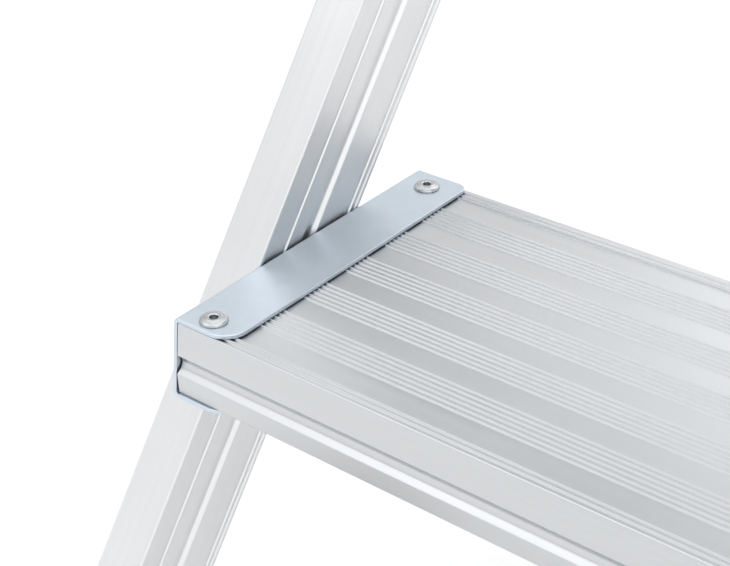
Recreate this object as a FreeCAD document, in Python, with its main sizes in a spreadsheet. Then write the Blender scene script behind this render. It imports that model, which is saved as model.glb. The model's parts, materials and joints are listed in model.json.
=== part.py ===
"""Folding aluminium step ladder with ribbed treads, a folding platform and a hinged rear frame.

X runs along the treads, Y runs rearwards, Z is up. The origin lies on the floor, in the middle of the
ladder's footprint. All lengths are millimetres and all angles are degrees.
"""
import FreeCAD, Part
import math
import os
from FreeCAD import Matrix, Placement, Rotation, Vector

# alias, value, what it sets
DIMENSIONS = [
    ("front_lean", 29.0, "front frame, angle from upright"),
    ("side_splay", 7.0, "stiles spread outwards towards the floor, angle from upright"),
    ("fold_angle", 46.0, "angle between the open frames"),
    ("base_half_width", 310.0, "inner faces of the front stiles from the middle, at the floor"),
    ("stile_top_height", 1215.0, "upper end of the front stiles"),
    ("hinge_height", 1172.0, "level of the rear frame hinge on the front edge of the stile"),
    ("stile_depth", 47.0, "stile section, front to rear"),
    ("stile_width", 18.0, "stile section, across"),
    ("stile_wall", 1.8, "stile wall"),
    ("stile_relief", 0.6, "height of the fine ridges on the inner face"),
    ("stile_lip", 2.1, "raised lip at the front edge of the inner face"),
    ("stile_front_ridge", 11.8, "front edge to the first fine ridge"),
    ("stile_ridge_width", 0.9, "width of the fine ridges"),
    ("stile_groove_start", 20.2, "front edge to the groove"),
    ("stile_groove_width", 6.8, "groove width"),
    ("stile_groove_depth", 2.2, "groove along the inner face"),
    ("stile_rear_ridge", 5.0, "rear edge to the second fine ridge"),
    ("stile_rear_lip", 1.8, "raised lip at the rear edge of the inner face"),
    ("stile_corner", 1.5, "rounding of the stile's outer corners"),
    ("frame_gap", 6.0, "space between the front and the rear stile"),
    ("rear_stile_rise", 28.0, "rear stile beyond the hinge"),
    ("tread_spacing", 235.0, "rise from one tread to the next"),
    ("tread_overhang", 40.25, "tread in front of the stile"),
    ("tread_height", 28.8, "tread section height, ribs included"),
    ("tread_wall", 2.0, "tread wall"),
    ("tread_end_gap", 0.5, "tread end to bracket"),
    ("rib_pitch", 2.2, "spacing of the anti-slip ribs"),
    ("rib_height", 0.5, "anti-slip rib height"),
    ("rib_foot", 1.1, "anti-slip rib width at its foot"),
    ("rib_crest", 0.5, "anti-slip rib width at its top"),
    ("band_width", 10.34, "last rib of a group to the first rib of the next"),
    ("rib_margin", 2.57, "last rib to the tread's rear edge"),
    ("nose_margin", 0.57, "tread's front edge to the first rib"),
    ("nose_groove_top", 12.8, "top of the groove in the tread's front wall, from the rib tops"),
    ("nose_groove_foot", 20.5, "foot of that groove"),
    ("nose_groove_depth", 2.6, "depth of that groove"),
    ("nose_undercut", 1.2, "how far the wall turns in at its foot"),
    ("bracket_sheet", 1.5, "bracket sheet thickness"),
    ("bracket_flange", 23.5, "bracket flange along the tread"),
    ("bracket_front_inset", 0.2, "bracket behind the tread's front edge"),
    ("bracket_rear_inset", 0.4, "bracket in front of the tread's rear edge"),
    ("bracket_front_corner", 8.5, "rounding of the flange's front corners"),
    ("bracket_rear_corner", 4.0, "rounding of the flange's rear corners"),
    ("bracket_bend", 0.5, "inner bend radius"),
    ("rivet_head", 9.5, "blind rivet head diameter"),
    ("rivet_dome", 1.5, "blind rivet head height"),
    ("rivet_shank", 4.8, "blind rivet body diameter"),
    ("rivet_mandrel", 2.6, "hole left by the rivet's mandrel"),
    ("rivet_clearance", 0.1, "rivet body to its hole, on the radius"),
    ("rivet_side", 11.5, "flange rivets from the outer face of the bracket"),
    ("rivet_front", 6.5, "front top rivet from the tread's front edge"),
    ("rivet_rear", 9.8, "rear top rivet from the tread's rear edge"),
    ("rivet_web_upper", 8.7, "upper stile rivets below the rib tops"),
    ("rivet_web_lower", 18.4, "lower stile rivets below the rib tops, clear of the tread's inner wall"),
    ("rivet_under", 13.0, "underside rivets from the tread's edges"),
    ("rivet_before_tube", 33.0, "rear underside rivets of the platform from its rear edge, ahead of the tube"),
    ("hinge_bolt", 10.0, "hinge bolt diameter"),
    ("pivot_bolt", 8.0, "platform pivot bolt diameter"),
    ("bearing_clearance", 0.05, "running clearance of the bolts, on the radius"),
    ("hinge_head", 18.0, "hinge bolt head and nut diameter"),
    ("hinge_head_height", 4.0, "hinge bolt head and nut height"),
    ("hinge_spacer", 16.0, "hinge spacer diameter"),
    ("hinge_spacer_width", 3.2, "hinge spacer thickness"),
    ("pivot_head", 13.0, "platform bolt head and nut diameter"),
    ("pivot_head_height", 2.5, "platform bolt head height"),
    ("pivot_nut_height", 5.0, "platform bolt nut height"),
    ("pivot_spacer", 15.0, "platform spacer diameter"),
    ("rail_bolt", 6.0, "top rail bolt diameter"),
    ("rail_bolt_head", 12.0, "top rail bolt head diameter"),
    ("rail_bolt_reach", 30.0, "top rail bolt inside the rail"),
    ("rail_plug", 24.0, "length of the plug inside the top rail"),
    ("rail_diameter", 25.0, "top rail tube"),
    ("rail_wall", 1.5, "top rail wall"),
    ("rail_height", 1196.0, "top rail axis on the front edge of the stile"),
    ("support_tube", 22.0, "tube that carries the platform"),
    ("support_wall", 1.5, "wall of that tube"),
    ("support_seat", 2.5, "tube cleat between the stile and the tube"),
    ("platform_height", 940.0, "top of the platform"),
    ("platform_gap", 7.0, "platform side to the stile"),
    ("platform_rear_edge", 18.0, "platform beyond the support tube's axis"),
    ("rest_gap", 0.3, "platform to the tube that it rests on"),
    ("hook_width", 34.0, "platform hook width"),
    ("hook_spread", 95.0, "platform hooks from the middle"),
    ("hook_drop", 20.0, "how far a hook reaches down behind the tube"),
    ("hook_reach", 66.0, "hook plate along the platform's underside"),
    ("hook_rivet_edge", 12.0, "hook rivets from the front end of the plate"),
    ("brace_height", 36.0, "rear brace section, along the stile"),
    ("brace_depth", 12.0, "rear brace section, front to rear"),
    ("brace_wall", 1.6, "rear brace wall"),
    ("upper_brace_reach", 650.0, "hinge to the upper rear brace"),
    ("lower_brace_reach", 925.0, "hinge to the lower rear brace"),
    ("foot_height", 52.0, "rubber foot height"),
    ("foot_sole", 7.0, "rubber below the stile"),
    ("foot_margin", 4.0, "rubber around the stile"),
    ("cap_height", 4.0, "plastic cap above the stile"),
    ("cap_plug", 16.0, "cap plug inside the stile"),
    ("seat_clearance", 0.1, "clearance around caps and feet"),
]
RIB_GROUP = 6           # ribs in a full group
EDGE_GROUP = 3          # ribs beside the front and rear edges
TREAD_GROUPS = 5        # full groups on a tread
PLATFORM_GROUPS = 14    # full groups on the platform
TREAD_CELLS = 3         # hollows side by side inside a tread
PLATFORM_CELLS = 8      # hollows side by side inside the platform
PLATFORM_MIDDLE = 4.5 / PLATFORM_CELLS      # middle rivets, as a share of the platform, over a hollow
GROOVE_SLANT = 1.2      # width of a slanted side of the stile's groove
GROOVE_ROUNDING = 1.0   # rounding at its floor
FLOOR_BLOCK = 8         # block that cuts the feet level with the floor, in foot heights
TREAD_NAMES = ("lower_tread", "middle_tread", "upper_tread")
SIDES = {"left": 1, "right": -1}

doc = FreeCAD.newDocument("StepLadder")
sheet = doc.addObject("Spreadsheet::Sheet", "Sizes")
for row, (alias, value, note) in enumerate(DIMENSIONS, 1):
    sheet.set(f"A{row}", alias)
    sheet.set(f"B{row}", str(value))
    sheet.setAlias(f"B{row}", alias)
    sheet.set(f"C{row}", note)
doc.recompute()

NODES = []


def size(alias):
    """Read one driving dimension."""
    return float(sheet.get(alias))


def keep(part, label):
    """Name an object as a finished piece of the ladder."""
    part.Label = label
    NODES.append(part)
    return part


# ---------------------------------------------------------------- ladder geometry

LEAN = math.tan(math.radians(size("front_lean")))
SPLAY = math.tan(math.radians(size("side_splay")))
REAR_ANGLE = math.radians(size("fold_angle") - size("front_lean"))


def axes(side):
    """Unit vectors of a front stile: rearwards, outwards and up along the stile."""
    along = Vector(side * SPLAY, LEAN, 1).normalize()
    outward = Vector(-side, 0, SPLAY).normalize()
    rearward = outward.cross(along) * side
    return rearward, outward, along


def frame(origin, x_axis, y_axis, z_axis):
    """Placement whose local axes are the three given unit vectors."""
    return Placement(Matrix(x_axis.x, y_axis.x, z_axis.x, origin.x,
                            x_axis.y, y_axis.y, z_axis.y, origin.y,
                            x_axis.z, y_axis.z, z_axis.z, origin.z,
                            0, 0, 0, 1))


def edge_point(side, height, front_y):
    """Point on the front edge of a front stile's inner face, at a height."""
    return Vector(-side * (size("base_half_width") - SPLAY * height), front_y + LEAN * height, height)


def rear_reach(front_y):
    """Hinge point (Y, Z), seen from the side, for a front edge that starts at front_y."""
    rearward, outward, along = axes(1)
    hinge = edge_point(1, size("hinge_height"), front_y) + rearward * (size("stile_depth") / 2)
    return hinge.y, hinge.z


def opened(placement, front_y):
    """Turn a placement from the folded rear frame to the open one."""
    hinge_y, hinge_z = rear_reach(front_y)
    pivot = Vector(0, hinge_y, hinge_z)
    turn = Placement(Vector(), Rotation(Vector(1, 0, 0), size("fold_angle")), pivot)
    return turn.multiply(placement)


def stile_frame(side, kind, front_y):
    """Placement of a stile's lower end. Local X is rearwards, Y is to the left and Z is up the stile."""
    rearward, outward, along = axes(side)
    left = outward * side
    if kind == "front":
        drop = -rearward.z * size("stile_depth")
        origin = edge_point(side, size("foot_sole") + drop, front_y)
        return frame(origin, rearward, left, along)
    corner = edge_point(side, size("hinge_height"), front_y)
    corner += outward * (size("stile_width") + size("frame_gap"))
    top = opened(frame(corner, rearward, left, along), front_y)
    local = [Vector(0, 0, 0), Vector(size("stile_depth"), 0, 0)]
    local += [point + Vector(0, side * size("stile_width"), 0) for point in list(local)]
    lowest = min(top.multVec(point).z for point in local)
    slope = top.Rotation.multVec(Vector(0, 0, 1)).z
    reach = (lowest - size("foot_sole")) / slope
    return top.multiply(Placement(Vector(0, 0, -reach), Rotation()))


def stile_length(side, kind, front_y):
    """Length of a stile between its square-cut ends."""
    base = stile_frame(side, kind, front_y)
    rearward, outward, along = axes(side)
    if kind == "front":
        return (size("stile_top_height") - base.Base.z) / along.z
    corner = edge_point(side, size("hinge_height"), front_y)
    corner += outward * (size("stile_width") + size("frame_gap"))
    top = opened(frame(corner, rearward, outward * side, along), front_y).Base
    return (top - base.Base).Length + size("rear_stile_rise")


def footprint(base, side):
    """Front and rear limit of a stile's foot on the floor."""
    slope = base.Rotation.multVec(Vector(0, 0, 1))
    margin = size("foot_margin")
    points = []
    for depth in (-margin, size("stile_depth") + margin):
        for width in (-margin, size("stile_width") + margin):
            corner = base.multVec(Vector(depth, side * width, 0))
            points.append(corner - slope * (corner.z / slope.z))
    return min(point.y for point in points), max(point.y for point in points)


FRONT_Y = 0.0
front_limit = footprint(stile_frame(1, "front", FRONT_Y), 1)[0]
rear_limit = footprint(stile_frame(1, "rear", FRONT_Y), 1)[1]
FRONT_Y = -(front_limit + rear_limit) / 2     # puts the origin in the middle of the footprint
HINGE_Y, HINGE_Z = rear_reach(FRONT_Y)
REAR_NORMAL = Vector(0, math.cos(REAR_ANGLE), math.sin(REAR_ANGLE))
REAR_UP = Vector(0, -math.sin(REAR_ANGLE), math.cos(REAR_ANGLE))


def rear_faces():
    """Distances behind the hinge axis of the two rear corners of a rear stile, nearest first."""
    base = stile_frame(1, "rear", FRONT_Y)
    corners = [base.multVec(Vector(size("stile_depth"), across, 0)) for across in (0, size("stile_width"))]
    return sorted((corner - Vector(0, HINGE_Y, HINGE_Z)).dot(REAR_NORMAL) for corner in corners)


REAR_SEAT = rear_faces()[1]                   # parts on the rear stiles stand on their rearmost corners
REAR_WEDGE = REAR_SEAT - rear_faces()[0]      # how far the other corners stay back


# ---------------------------------------------------------------- building blocks

DERIVED = []


def derived(alias, value):
    """Add a worked-out size to the sheet and return the expression that reads it."""
    row = 1 + len(DIMENSIONS) + len(DERIVED)
    DERIVED.append(alias)
    sheet.set(f"A{row}", alias)
    sheet.set(f"B{row}", f"{value:.9f}")
    sheet.setAlias(f"B{row}", alias)
    sheet.recompute()
    return f"Sizes.{alias}"


def rounded(points):
    """Closed outline through (x, y) or (x, y, radius) corners, as lines and tangent arcs."""
    corners = []
    for index, point in enumerate(points):
        here = Vector(point[0], point[1], 0)
        radius = point[2] if len(point) > 2 else 0
        if not radius:
            corners.append((here, None, here))
            continue
        before = points[index - 1]
        after = points[(index + 1) % len(points)]
        back = (Vector(before[0], before[1], 0) - here).normalize()
        ahead = (Vector(after[0], after[1], 0) - here).normalize()
        half = back.getAngle(ahead) / 2
        middle = (back + ahead).normalize()
        tangent = radius / math.tan(half)
        inside = middle * (radius / math.sin(half) - radius)
        corners.append((here + back * tangent, here + inside, here + ahead * tangent))
    outline = []
    for corner, following in zip(corners, corners[1:] + corners[:1]):
        if corner[1] is not None:
            outline.append(Part.Arc(corner[0], corner[1], corner[2]))
        outline.append(Part.LineSegment(corner[2], following[0]))
    return outline


def circle(diameter):
    """Circular outline around the origin."""
    return [Part.Circle(Vector(0, 0, 0), Vector(0, 0, 1), diameter / 2)]


def add_pad(body, name, outlines, length, reverse=False):
    """Pad closed outlines, drawn on the body's own XY plane, by a bound length."""
    sketch = body.newObject("Sketcher::SketchObject", name + "_sketch")
    plane = [item for item in body.Origin.OriginFeatures if item.Role == "XY_Plane"][0]
    sketch.AttachmentSupport = [(plane, "")]
    sketch.MapMode = "FlatFace"
    for outline in outlines:
        sketch.addGeometry(outline, False)
    pad = body.newObject("PartDesign::Pad", name + "_pad")
    pad.Profile = sketch
    pad.Reversed = reverse
    pad.setExpression("Length", length)
    return pad


def extrusion(name, outlines, length, placement):
    """Body that extrudes a section by a bound length along its local Z."""
    body = doc.addObject("PartDesign::Body", name)
    add_pad(body, name, outlines, length)
    body.Placement = placement
    return body


def rod(name, centre, direction, diameter, length):
    """Cylinder of a bound diameter, centred on a point."""
    cylinder = doc.addObject("Part::Cylinder", name)
    cylinder.setExpression("Radius", f"({diameter}) / 2")
    cylinder.Height = length
    turn = Rotation(Vector(0, 0, 1), direction)
    cylinder.Placement = Placement(centre - direction * (length / 2), turn)
    return cylinder


def drilled(name, base, holes):
    """Cut round holes, given as (centre, direction, diameter expression, length)."""
    tools = []
    for index, (centre, direction, diameter, length) in enumerate(holes):
        tools.append(rod(f"{name}_hole_{index + 1}", centre, direction, diameter, length))
    tool = tools[0]
    if len(tools) > 1:
        tool = doc.addObject("Part::MultiFuse", name + "_holes")
        tool.Shapes = tools
    cut = doc.addObject("Part::Cut", name + "_drilled")
    cut.Base = base
    cut.Tool = tool
    return cut


def group(label, shapes):
    """Several loose solids of one kind as one piece of the list."""
    part = doc.addObject("Part::Feature", label)
    part.Shape = Part.makeCompound(shapes)
    return keep(part, label)


def turned(profile, centre, direction):
    """Solid of revolution from (radius, height) corners; its local Z points along direction."""
    points = [Vector(radius, 0, height) for radius, height in profile]
    face = Part.Face(Part.makePolygon(points + points[:1]))
    solid = face.revolve(Vector(0, 0, 0), Vector(0, 0, 1), 360)
    solid.Placement = Placement(centre, Rotation(Vector(0, 0, 1), direction))
    return solid


def rivet(centre, outward, grip):
    """Blind rivet whose head sits on centre and whose body runs against outward through grip."""
    body = size("rivet_shank") / 2
    head = size("rivet_head") / 2
    dome = size("rivet_dome")
    mandrel = size("rivet_mandrel") / 2
    bulge = body * 1.35
    tail = grip + 1.5 * body
    profile = [(0, -tail), (body, -tail), (bulge, -grip - body * 0.6), (body, -grip), (body, 0), (head, 0),
               (head, dome * 0.3), (head * 0.88, dome * 0.55), (head * 0.66, dome * 0.74),
               (head * 0.56, dome * 0.8), (head * 0.52, dome), (mandrel * 1.12, dome),
               (mandrel, dome * 0.88), (mandrel, -dome), (0, -dome)]
    return turned(profile, centre, outward)


def bolt(start, direction, diameter, length, head, head_height):
    """Round-headed bolt: the head's underside lies at start and the body runs along direction."""
    solid = Part.makeCylinder(diameter / 2, length, start, direction)
    edge = head_height * 0.45
    profile = [(0, 0), (head / 2, 0), (head / 2, edge), (head * 0.4, head_height * 0.85),
               (head * 0.22, head_height), (0, head_height)]
    return solid.fuse(turned(profile, start, direction * -1)).removeSplitter()


def ring(start, direction, inner, outer, length):
    """Plain round washer or spacer."""
    body = Part.makeCylinder(outer / 2, length, start, direction)
    return body.cut(Part.makeCylinder(inner / 2, length, start, direction))


def face_x(placement, across, y, z):
    """X where a line along X at (y, z) crosses the plane local Y = across of a placement."""
    normal = placement.Rotation.multVec(Vector(0, 1, 0))
    start = placement.multVec(Vector(0, across, 0))
    return start.x + ((start.y - y) * normal.y + (start.z - z) * normal.z) / normal.x


def placed_stile(side, kind):
    """Stile placement in the finished ladder."""
    return stile_frame(side, kind, FRONT_Y)


X_AXIS = Vector(1, 0, 0)
Y_AXIS = Vector(0, 1, 0)
Z_AXIS = Vector(0, 0, 1)
BORE = "Sizes.hinge_bolt + 2 * Sizes.bearing_clearance"
PIVOT_BORE = "Sizes.pivot_bolt + 2 * Sizes.bearing_clearance"
RIVET_HOLE = "Sizes.rivet_shank + 2 * Sizes.rivet_clearance"


# ---------------------------------------------------------------- platform and tread levels

TREAD_DEPTH = (size("nose_margin") + size("rib_margin") + 2 * (EDGE_GROUP - 1) * size("rib_pitch")
               + TREAD_GROUPS * (RIB_GROUP - 1) * size("rib_pitch") + (TREAD_GROUPS + 1) * size("band_width"))
PLATFORM_DEPTH = (size("nose_margin") + size("rib_margin") + 2 * (EDGE_GROUP - 1) * size("rib_pitch")
                  + PLATFORM_GROUPS * (RIB_GROUP - 1) * size("rib_pitch")
                  + (PLATFORM_GROUPS + 1) * size("band_width"))
BRACKET_INSETS = size("bracket_front_inset") + size("bracket_rear_inset")
FOLD_SLOPE = SPLAY * math.cos(math.radians(size("front_lean")))    # platform side, so that it folds parallel

TUBE_OFFSET = REAR_SEAT + size("support_seat") + size("support_tube") / 2
TUBE_Z = (size("platform_height") - size("tread_height") - size("bracket_sheet")
          - size("rest_gap") - size("support_tube") / 2)
TUBE_REACH = (HINGE_Z - TUBE_Z + TUBE_OFFSET * math.sin(REAR_ANGLE)) / math.cos(REAR_ANGLE)
TUBE_Y = HINGE_Y + TUBE_REACH * math.sin(REAR_ANGLE) + TUBE_OFFSET * math.cos(REAR_ANGLE)
PLATFORM_REAR = TUBE_Y + size("platform_rear_edge")
PLATFORM_FRONT = PLATFORM_REAR - PLATFORM_DEPTH
PIVOT_Z = size("platform_height") - size("tread_height") / 2
PIVOT_Y = HINGE_Y - (HINGE_Z - PIVOT_Z) * LEAN


def stile_inner(height):
    """Half of the space between the front stiles at a height."""
    return size("base_half_width") - SPLAY * height


def platform_half(y):
    """Half of the platform's width over its side brackets."""
    return stile_inner(PIVOT_Z) - size("platform_gap") - FOLD_SLOPE * (y - PIVOT_Y)


def tread_height(index):
    """Level of the rib tops of a tread."""
    return size("tread_spacing") * (index + 1)


def tread_front(index):
    """Front edge of a tread."""
    return FRONT_Y + LEAN * tread_height(index) - size("tread_overhang")


# ---------------------------------------------------------------- stiles, feet and caps

def stile(side_name, kind):
    """Extruded stile with its bolt holes."""
    side = SIDES[side_name]
    label = f"{side_name}_{kind}_stile"
    depth = size("stile_depth")
    width = size("stile_width")
    relief = size("stile_relief")
    ridge = size("stile_ridge_width")
    groove = size("stile_groove_start")
    groove_end = groove + size("stile_groove_width")
    lip_end = size("stile_lip")
    rear_lip = depth - size("stile_rear_lip")
    slope = relief / 2
    outline = [(0, 0, relief * 1.5), (lip_end, 0), (lip_end + slope, relief)]
    for start in (size("stile_front_ridge"), depth - size("stile_rear_ridge")):
        bump = [(start, relief), (start + slope / 2, 0), (start + ridge - slope / 2, 0), (start + ridge, relief)]
        outline += bump
        if start < groove:
            outline += [(groove, relief), (groove + GROOVE_SLANT, size("stile_groove_depth"), GROOVE_ROUNDING),
                        (groove_end - GROOVE_SLANT, size("stile_groove_depth"), GROOVE_ROUNDING),
                        (groove_end, relief)]
    outline += [(rear_lip - slope, relief), (rear_lip, 0), (depth, 0, relief), (depth, width, size("stile_corner")),
                (0, width, size("stile_corner"))]
    wall = size("stile_wall")
    inner = size("stile_groove_depth") + wall
    hollow = [(wall, inner, 1), (depth - wall, inner, 1), (depth - wall, width - wall, 1), (wall, width - wall, 1)]
    sections = [rounded([(point[0], point[1] * side) + tuple(point[2:]) for point in loop])
                for loop in (outline, hollow)]
    base = placed_stile(side, kind)
    length = derived(f"{kind}_length_{side_name}", stile_length(side, kind, FRONT_Y))
    body = extrusion(label + "_profile", sections, length, base)
    reach = 6 * width
    holes = [(Vector(face_x(base, 0, HINGE_Y, HINGE_Z), HINGE_Y, HINGE_Z), X_AXIS, BORE, reach)]
    if kind == "front":
        rail_y, rail_z = rail_axis()
        holes.append((Vector(face_x(base, 0, PIVOT_Y, PIVOT_Z), PIVOT_Y, PIVOT_Z), X_AXIS, PIVOT_BORE, reach))
        holes.append((Vector(face_x(base, 0, rail_y, rail_z), rail_y, rail_z), X_AXIS,
                      "Sizes.rail_bolt + 2 * Sizes.rivet_clearance", reach))
        for index in range(len(TREAD_NAMES)):
            for centre, outward in web_rivet_points(index, side):
                holes.append((centre, outward, RIVET_HOLE, 2 * (inner + 2 * size("bracket_sheet"))))
    else:
        for reach_down in (size("upper_brace_reach"), size("lower_brace_reach")):
            for centre, outward in brace_rivet_points(reach_down, side):
                holes.append((centre, outward, RIVET_HOLE, 2 * (size("brace_depth") + 3 * wall)))
    return keep(drilled(label, body, holes), label)


def rail_axis():
    """Top rail axis (Y, Z), in the middle of the stile's depth."""
    rearward, outward, along = axes(1)
    centre = edge_point(1, size("rail_height"), FRONT_Y) + rearward * (size("stile_depth") / 2)
    return centre.y, centre.z


def foot(side_name, kind):
    """Rubber shoe around the lower end of a stile, flat below."""
    side = SIDES[side_name]
    label = f"{side_name}_{kind}_foot"
    base = placed_stile(side, kind)
    margin = size("foot_margin")
    depth = size("stile_depth") + margin
    width = size("stile_width") + margin
    outline = [(-margin, -margin * side, 2), (depth, -margin * side, 2), (depth, width * side, 2),
               (-margin, width * side, 2)]
    start = size("foot_margin") + size("stile_depth")
    length = derived(f"{kind}_foot_length_{side_name}", size("foot_height") + start)
    block = extrusion(label + "_block", [rounded(outline)], length,
                      base.multiply(Placement(Vector(0, 0, -start), Rotation())))
    above = doc.addObject("Part::Box", label + "_floor")
    above.Length = above.Width = above.Height = FLOOR_BLOCK * size("foot_height")
    above.Placement = Placement(Vector(base.Base.x, base.Base.y, 0) - Vector(1, 1, 0) * (above.Length.Value / 2),
                                Rotation())
    flat = doc.addObject("Part::Common", label + "_flat")
    flat.Base = block
    flat.Tool = above
    socket = doc.addObject("Part::Box", label + "_socket")
    socket.setExpression("Length", "Sizes.stile_depth + 2 * Sizes.seat_clearance")
    socket.setExpression("Width", "Sizes.stile_width + 2 * Sizes.seat_clearance")
    socket.setExpression("Height", "2 * Sizes.foot_height")
    clearance = size("seat_clearance")
    corner = -clearance if side > 0 else -size("stile_width") - clearance
    socket.Placement = base.multiply(Placement(Vector(-clearance, corner, 0), Rotation()))
    cut = doc.addObject("Part::Cut", label)
    cut.Base = flat
    cut.Tool = socket
    return keep(cut, label)


def cap(side_name, kind):
    """Plastic cap that closes the upper end of a stile, with a plug inside the hollow."""
    side = SIDES[side_name]
    label = f"{side_name}_{kind}_cap"
    base = placed_stile(side, kind)
    top = base.multiply(Placement(Vector(0, 0, stile_length(side, kind, FRONT_Y)), Rotation()))
    depth = size("stile_depth")
    width = size("stile_width")
    wall = size("stile_wall") + size("seat_clearance")
    inner = size("stile_groove_depth") + wall
    head = [(0, 0, 1), (depth, 0, 1), (depth, side * width, 1), (0, side * width, 1)]
    plug = [(wall, side * inner, 1), (depth - wall, side * inner, 1), (depth - wall, side * (width - wall), 1),
            (wall, side * (width - wall), 1)]
    body = doc.addObject("PartDesign::Body", label)
    add_pad(body, label + "_head", [rounded(head)], "Sizes.cap_height")
    add_pad(body, label + "_plug", [rounded(plug)], "Sizes.cap_plug", reverse=True)
    body.Placement = top
    return keep(body, label)


# ---------------------------------------------------------------- treads and platform deck

def rib_positions(groups):
    """Distances of the ribs from the front edge of a tread."""
    position = size("nose_margin")
    positions = []
    for count in [EDGE_GROUP] + [RIB_GROUP] * groups + [EDGE_GROUP]:
        for index in range(count):
            positions.append(position + index * size("rib_pitch"))
        position = positions[-1] + size("band_width")
    return positions


def deck_section(groups, depth, cells):
    """Section of a ribbed tread: outline and hollows, front to rear and rib tops downwards."""
    rib = size("rib_height")
    foot = size("rib_foot") / 2
    crest = size("rib_crest") / 2
    height = size("tread_height")
    wall = size("tread_wall")
    top = -rib - wall
    groove_top = -size("nose_groove_top")
    groove_foot = -size("nose_groove_foot")
    groove = size("nose_groove_depth")
    undercut = size("nose_undercut")
    nose, *ribs = rib_positions(groups)
    outline = [(0, 0, 0.3), (nose + crest, 0), (nose + foot, -rib)]
    for position in ribs:
        outline += [(position - foot, -rib), (position - crest, 0), (position + crest, 0), (position + foot, -rib)]
    middle = (groove_top + groove_foot) / 2
    side = [(0, groove_top), (groove * 0.75, (groove_top + middle) / 2, 2.0), (groove, middle, 2.0),
            (groove * 0.75, (groove_foot + middle) / 2, 2.0), (0, groove_foot, 0.4), (undercut, -height, 0.8)]
    rear = [(depth - point[0],) + tuple(point[1:]) for point in side]
    outline += [(depth, -rib, 0.5)] + rear + side[::-1]
    hollows = []
    step = depth / cells
    inner = [(wall, top, 0.5), (wall, groove_top + wall / 2), (groove + wall, middle + wall),
             (groove + wall, middle - wall), (wall * 1.4, groove_foot), (undercut + wall, -height + wall)]
    for cell in range(cells):
        left = cell * step + wall / 2
        right = (cell + 1) * step - wall / 2
        front_side = inner if cell == 0 else [(left, top, 0.5), (left, -height + wall, 0.5)]
        rear_side = [(right, top, 0.5), (right, -height + wall, 0.5)]
        if cell == cells - 1:
            rear_side = [(depth - point[0],) + tuple(point[1:]) for point in inner]
        hollows.append(rounded(front_side + rear_side[::-1]))
    return [rounded(outline)] + hollows


def trimmed(name, body, placement, near, far, length, thickness):
    """Trim a body to a prism whose width changes evenly from near to far over length along local Y."""
    wedge = doc.addObject("Part::Wedge", name + "_ends")
    wedge.Xmin, wedge.Xmax = -near, near
    wedge.X2min, wedge.X2max = -far, far
    wedge.Ymin, wedge.Ymax = 0, length
    wedge.Zmin, wedge.Zmax = -thickness, thickness
    wedge.Z2min, wedge.Z2max = -thickness, thickness
    wedge.Placement = placement
    common = doc.addObject("Part::Common", name + "_trimmed")
    common.Base = body
    common.Tool = wedge
    return common


def tread(index):
    """Ribbed tread between its two brackets."""
    label = TREAD_NAMES[index]
    top = tread_height(index)
    front = tread_front(index)
    length = derived(f"{label}_blank", 2 * stile_inner(top - size("tread_height")))
    body = extrusion(label + "_profile", deck_section(TREAD_GROUPS, TREAD_DEPTH, TREAD_CELLS), length,
                     frame(Vector(-stile_inner(top - size("tread_height")), front, top), Y_AXIS, Z_AXIS, X_AXIS))
    edge = (size("bracket_sheet") + size("tread_end_gap")) / math.cos(math.radians(size("side_splay")))
    low = top - 2 * size("tread_height")
    reach = 3 * size("tread_height")
    ends = trimmed(label, body, frame(Vector(0, front, low), X_AXIS, Z_AXIS, Y_AXIS * -1),
                   stile_inner(low) - edge, stile_inner(low + reach) - edge, reach, 2 * TREAD_DEPTH)
    holes = []
    for side in SIDES.values():
        for centre, up in flange_rivet_points(index, side):
            holes.append((centre, Z_AXIS, RIVET_HOLE, 2 * (size("bracket_sheet") + size("tread_wall") + 1.5)))
    return keep(drilled(label, ends, holes), label)


def flange_rivet_points(index, side):
    """Seats and directions of the rivets on the upper and lower flange of a tread bracket."""
    top = tread_height(index)
    front = tread_front(index)
    sheet_thickness = size("bracket_sheet")
    points = []
    for level, up in ((top + sheet_thickness, Z_AXIS),
                      (top - size("tread_height") - sheet_thickness, Z_AXIS * -1)):
        x = -side * (stile_inner(level) - size("rivet_side"))
        ends = (size("rivet_front"), size("rivet_rear")) if up.z > 0 else (size("rivet_under"),) * 2
        for y in (front + ends[0], front + TREAD_DEPTH - ends[1]):
            points.append((Vector(x, y, level), up))
    return points


def web_rivet_points(index, side):
    """Seats and directions of the rivets that hold a bracket's web on its stile."""
    rearward, outward, along = axes(side)
    top = tread_height(index)
    points = []
    bands = ((size("stile_front_ridge") + size("stile_ridge_width") + size("stile_groove_start")) / 2,
             (size("stile_groove_start") + size("stile_groove_width") + size("stile_depth")
              - size("stile_rear_ridge")) / 2)
    for band in bands:
        for drop in (size("rivet_web_upper"), size("rivet_web_lower")):
            height = top - drop - rearward.z * band
            centre = edge_point(side, height, FRONT_Y) + rearward * band - outward * size("bracket_sheet")
            points.append((centre, outward * -1))
    return points


def channel(side, web_foot, web_head, height, width):
    """Section of a C-shaped bracket; the web's outer face leans from web_foot to web_head (X at both ends)."""
    thickness = size("bracket_sheet")
    bend = size("bracket_bend")
    lean = (web_head - web_foot) / (height + 2 * thickness)
    inner_foot = web_foot + lean * thickness + thickness
    inner_head = web_head - lean * thickness + thickness
    points = [(web_head, thickness, bend + thickness), (web_head + width, thickness),
              (web_head + width, 0), (inner_head, 0, bend), (inner_foot, -height, bend),
              (web_foot + width, -height), (web_foot + width, -height - thickness),
              (web_foot, -height - thickness, bend + thickness)]
    outline = rounded([(point[0] * side, point[1]) + tuple(point[2:]) for point in points])
    return outline, ((web_head + width) * side, (web_foot + width) * side)


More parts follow.
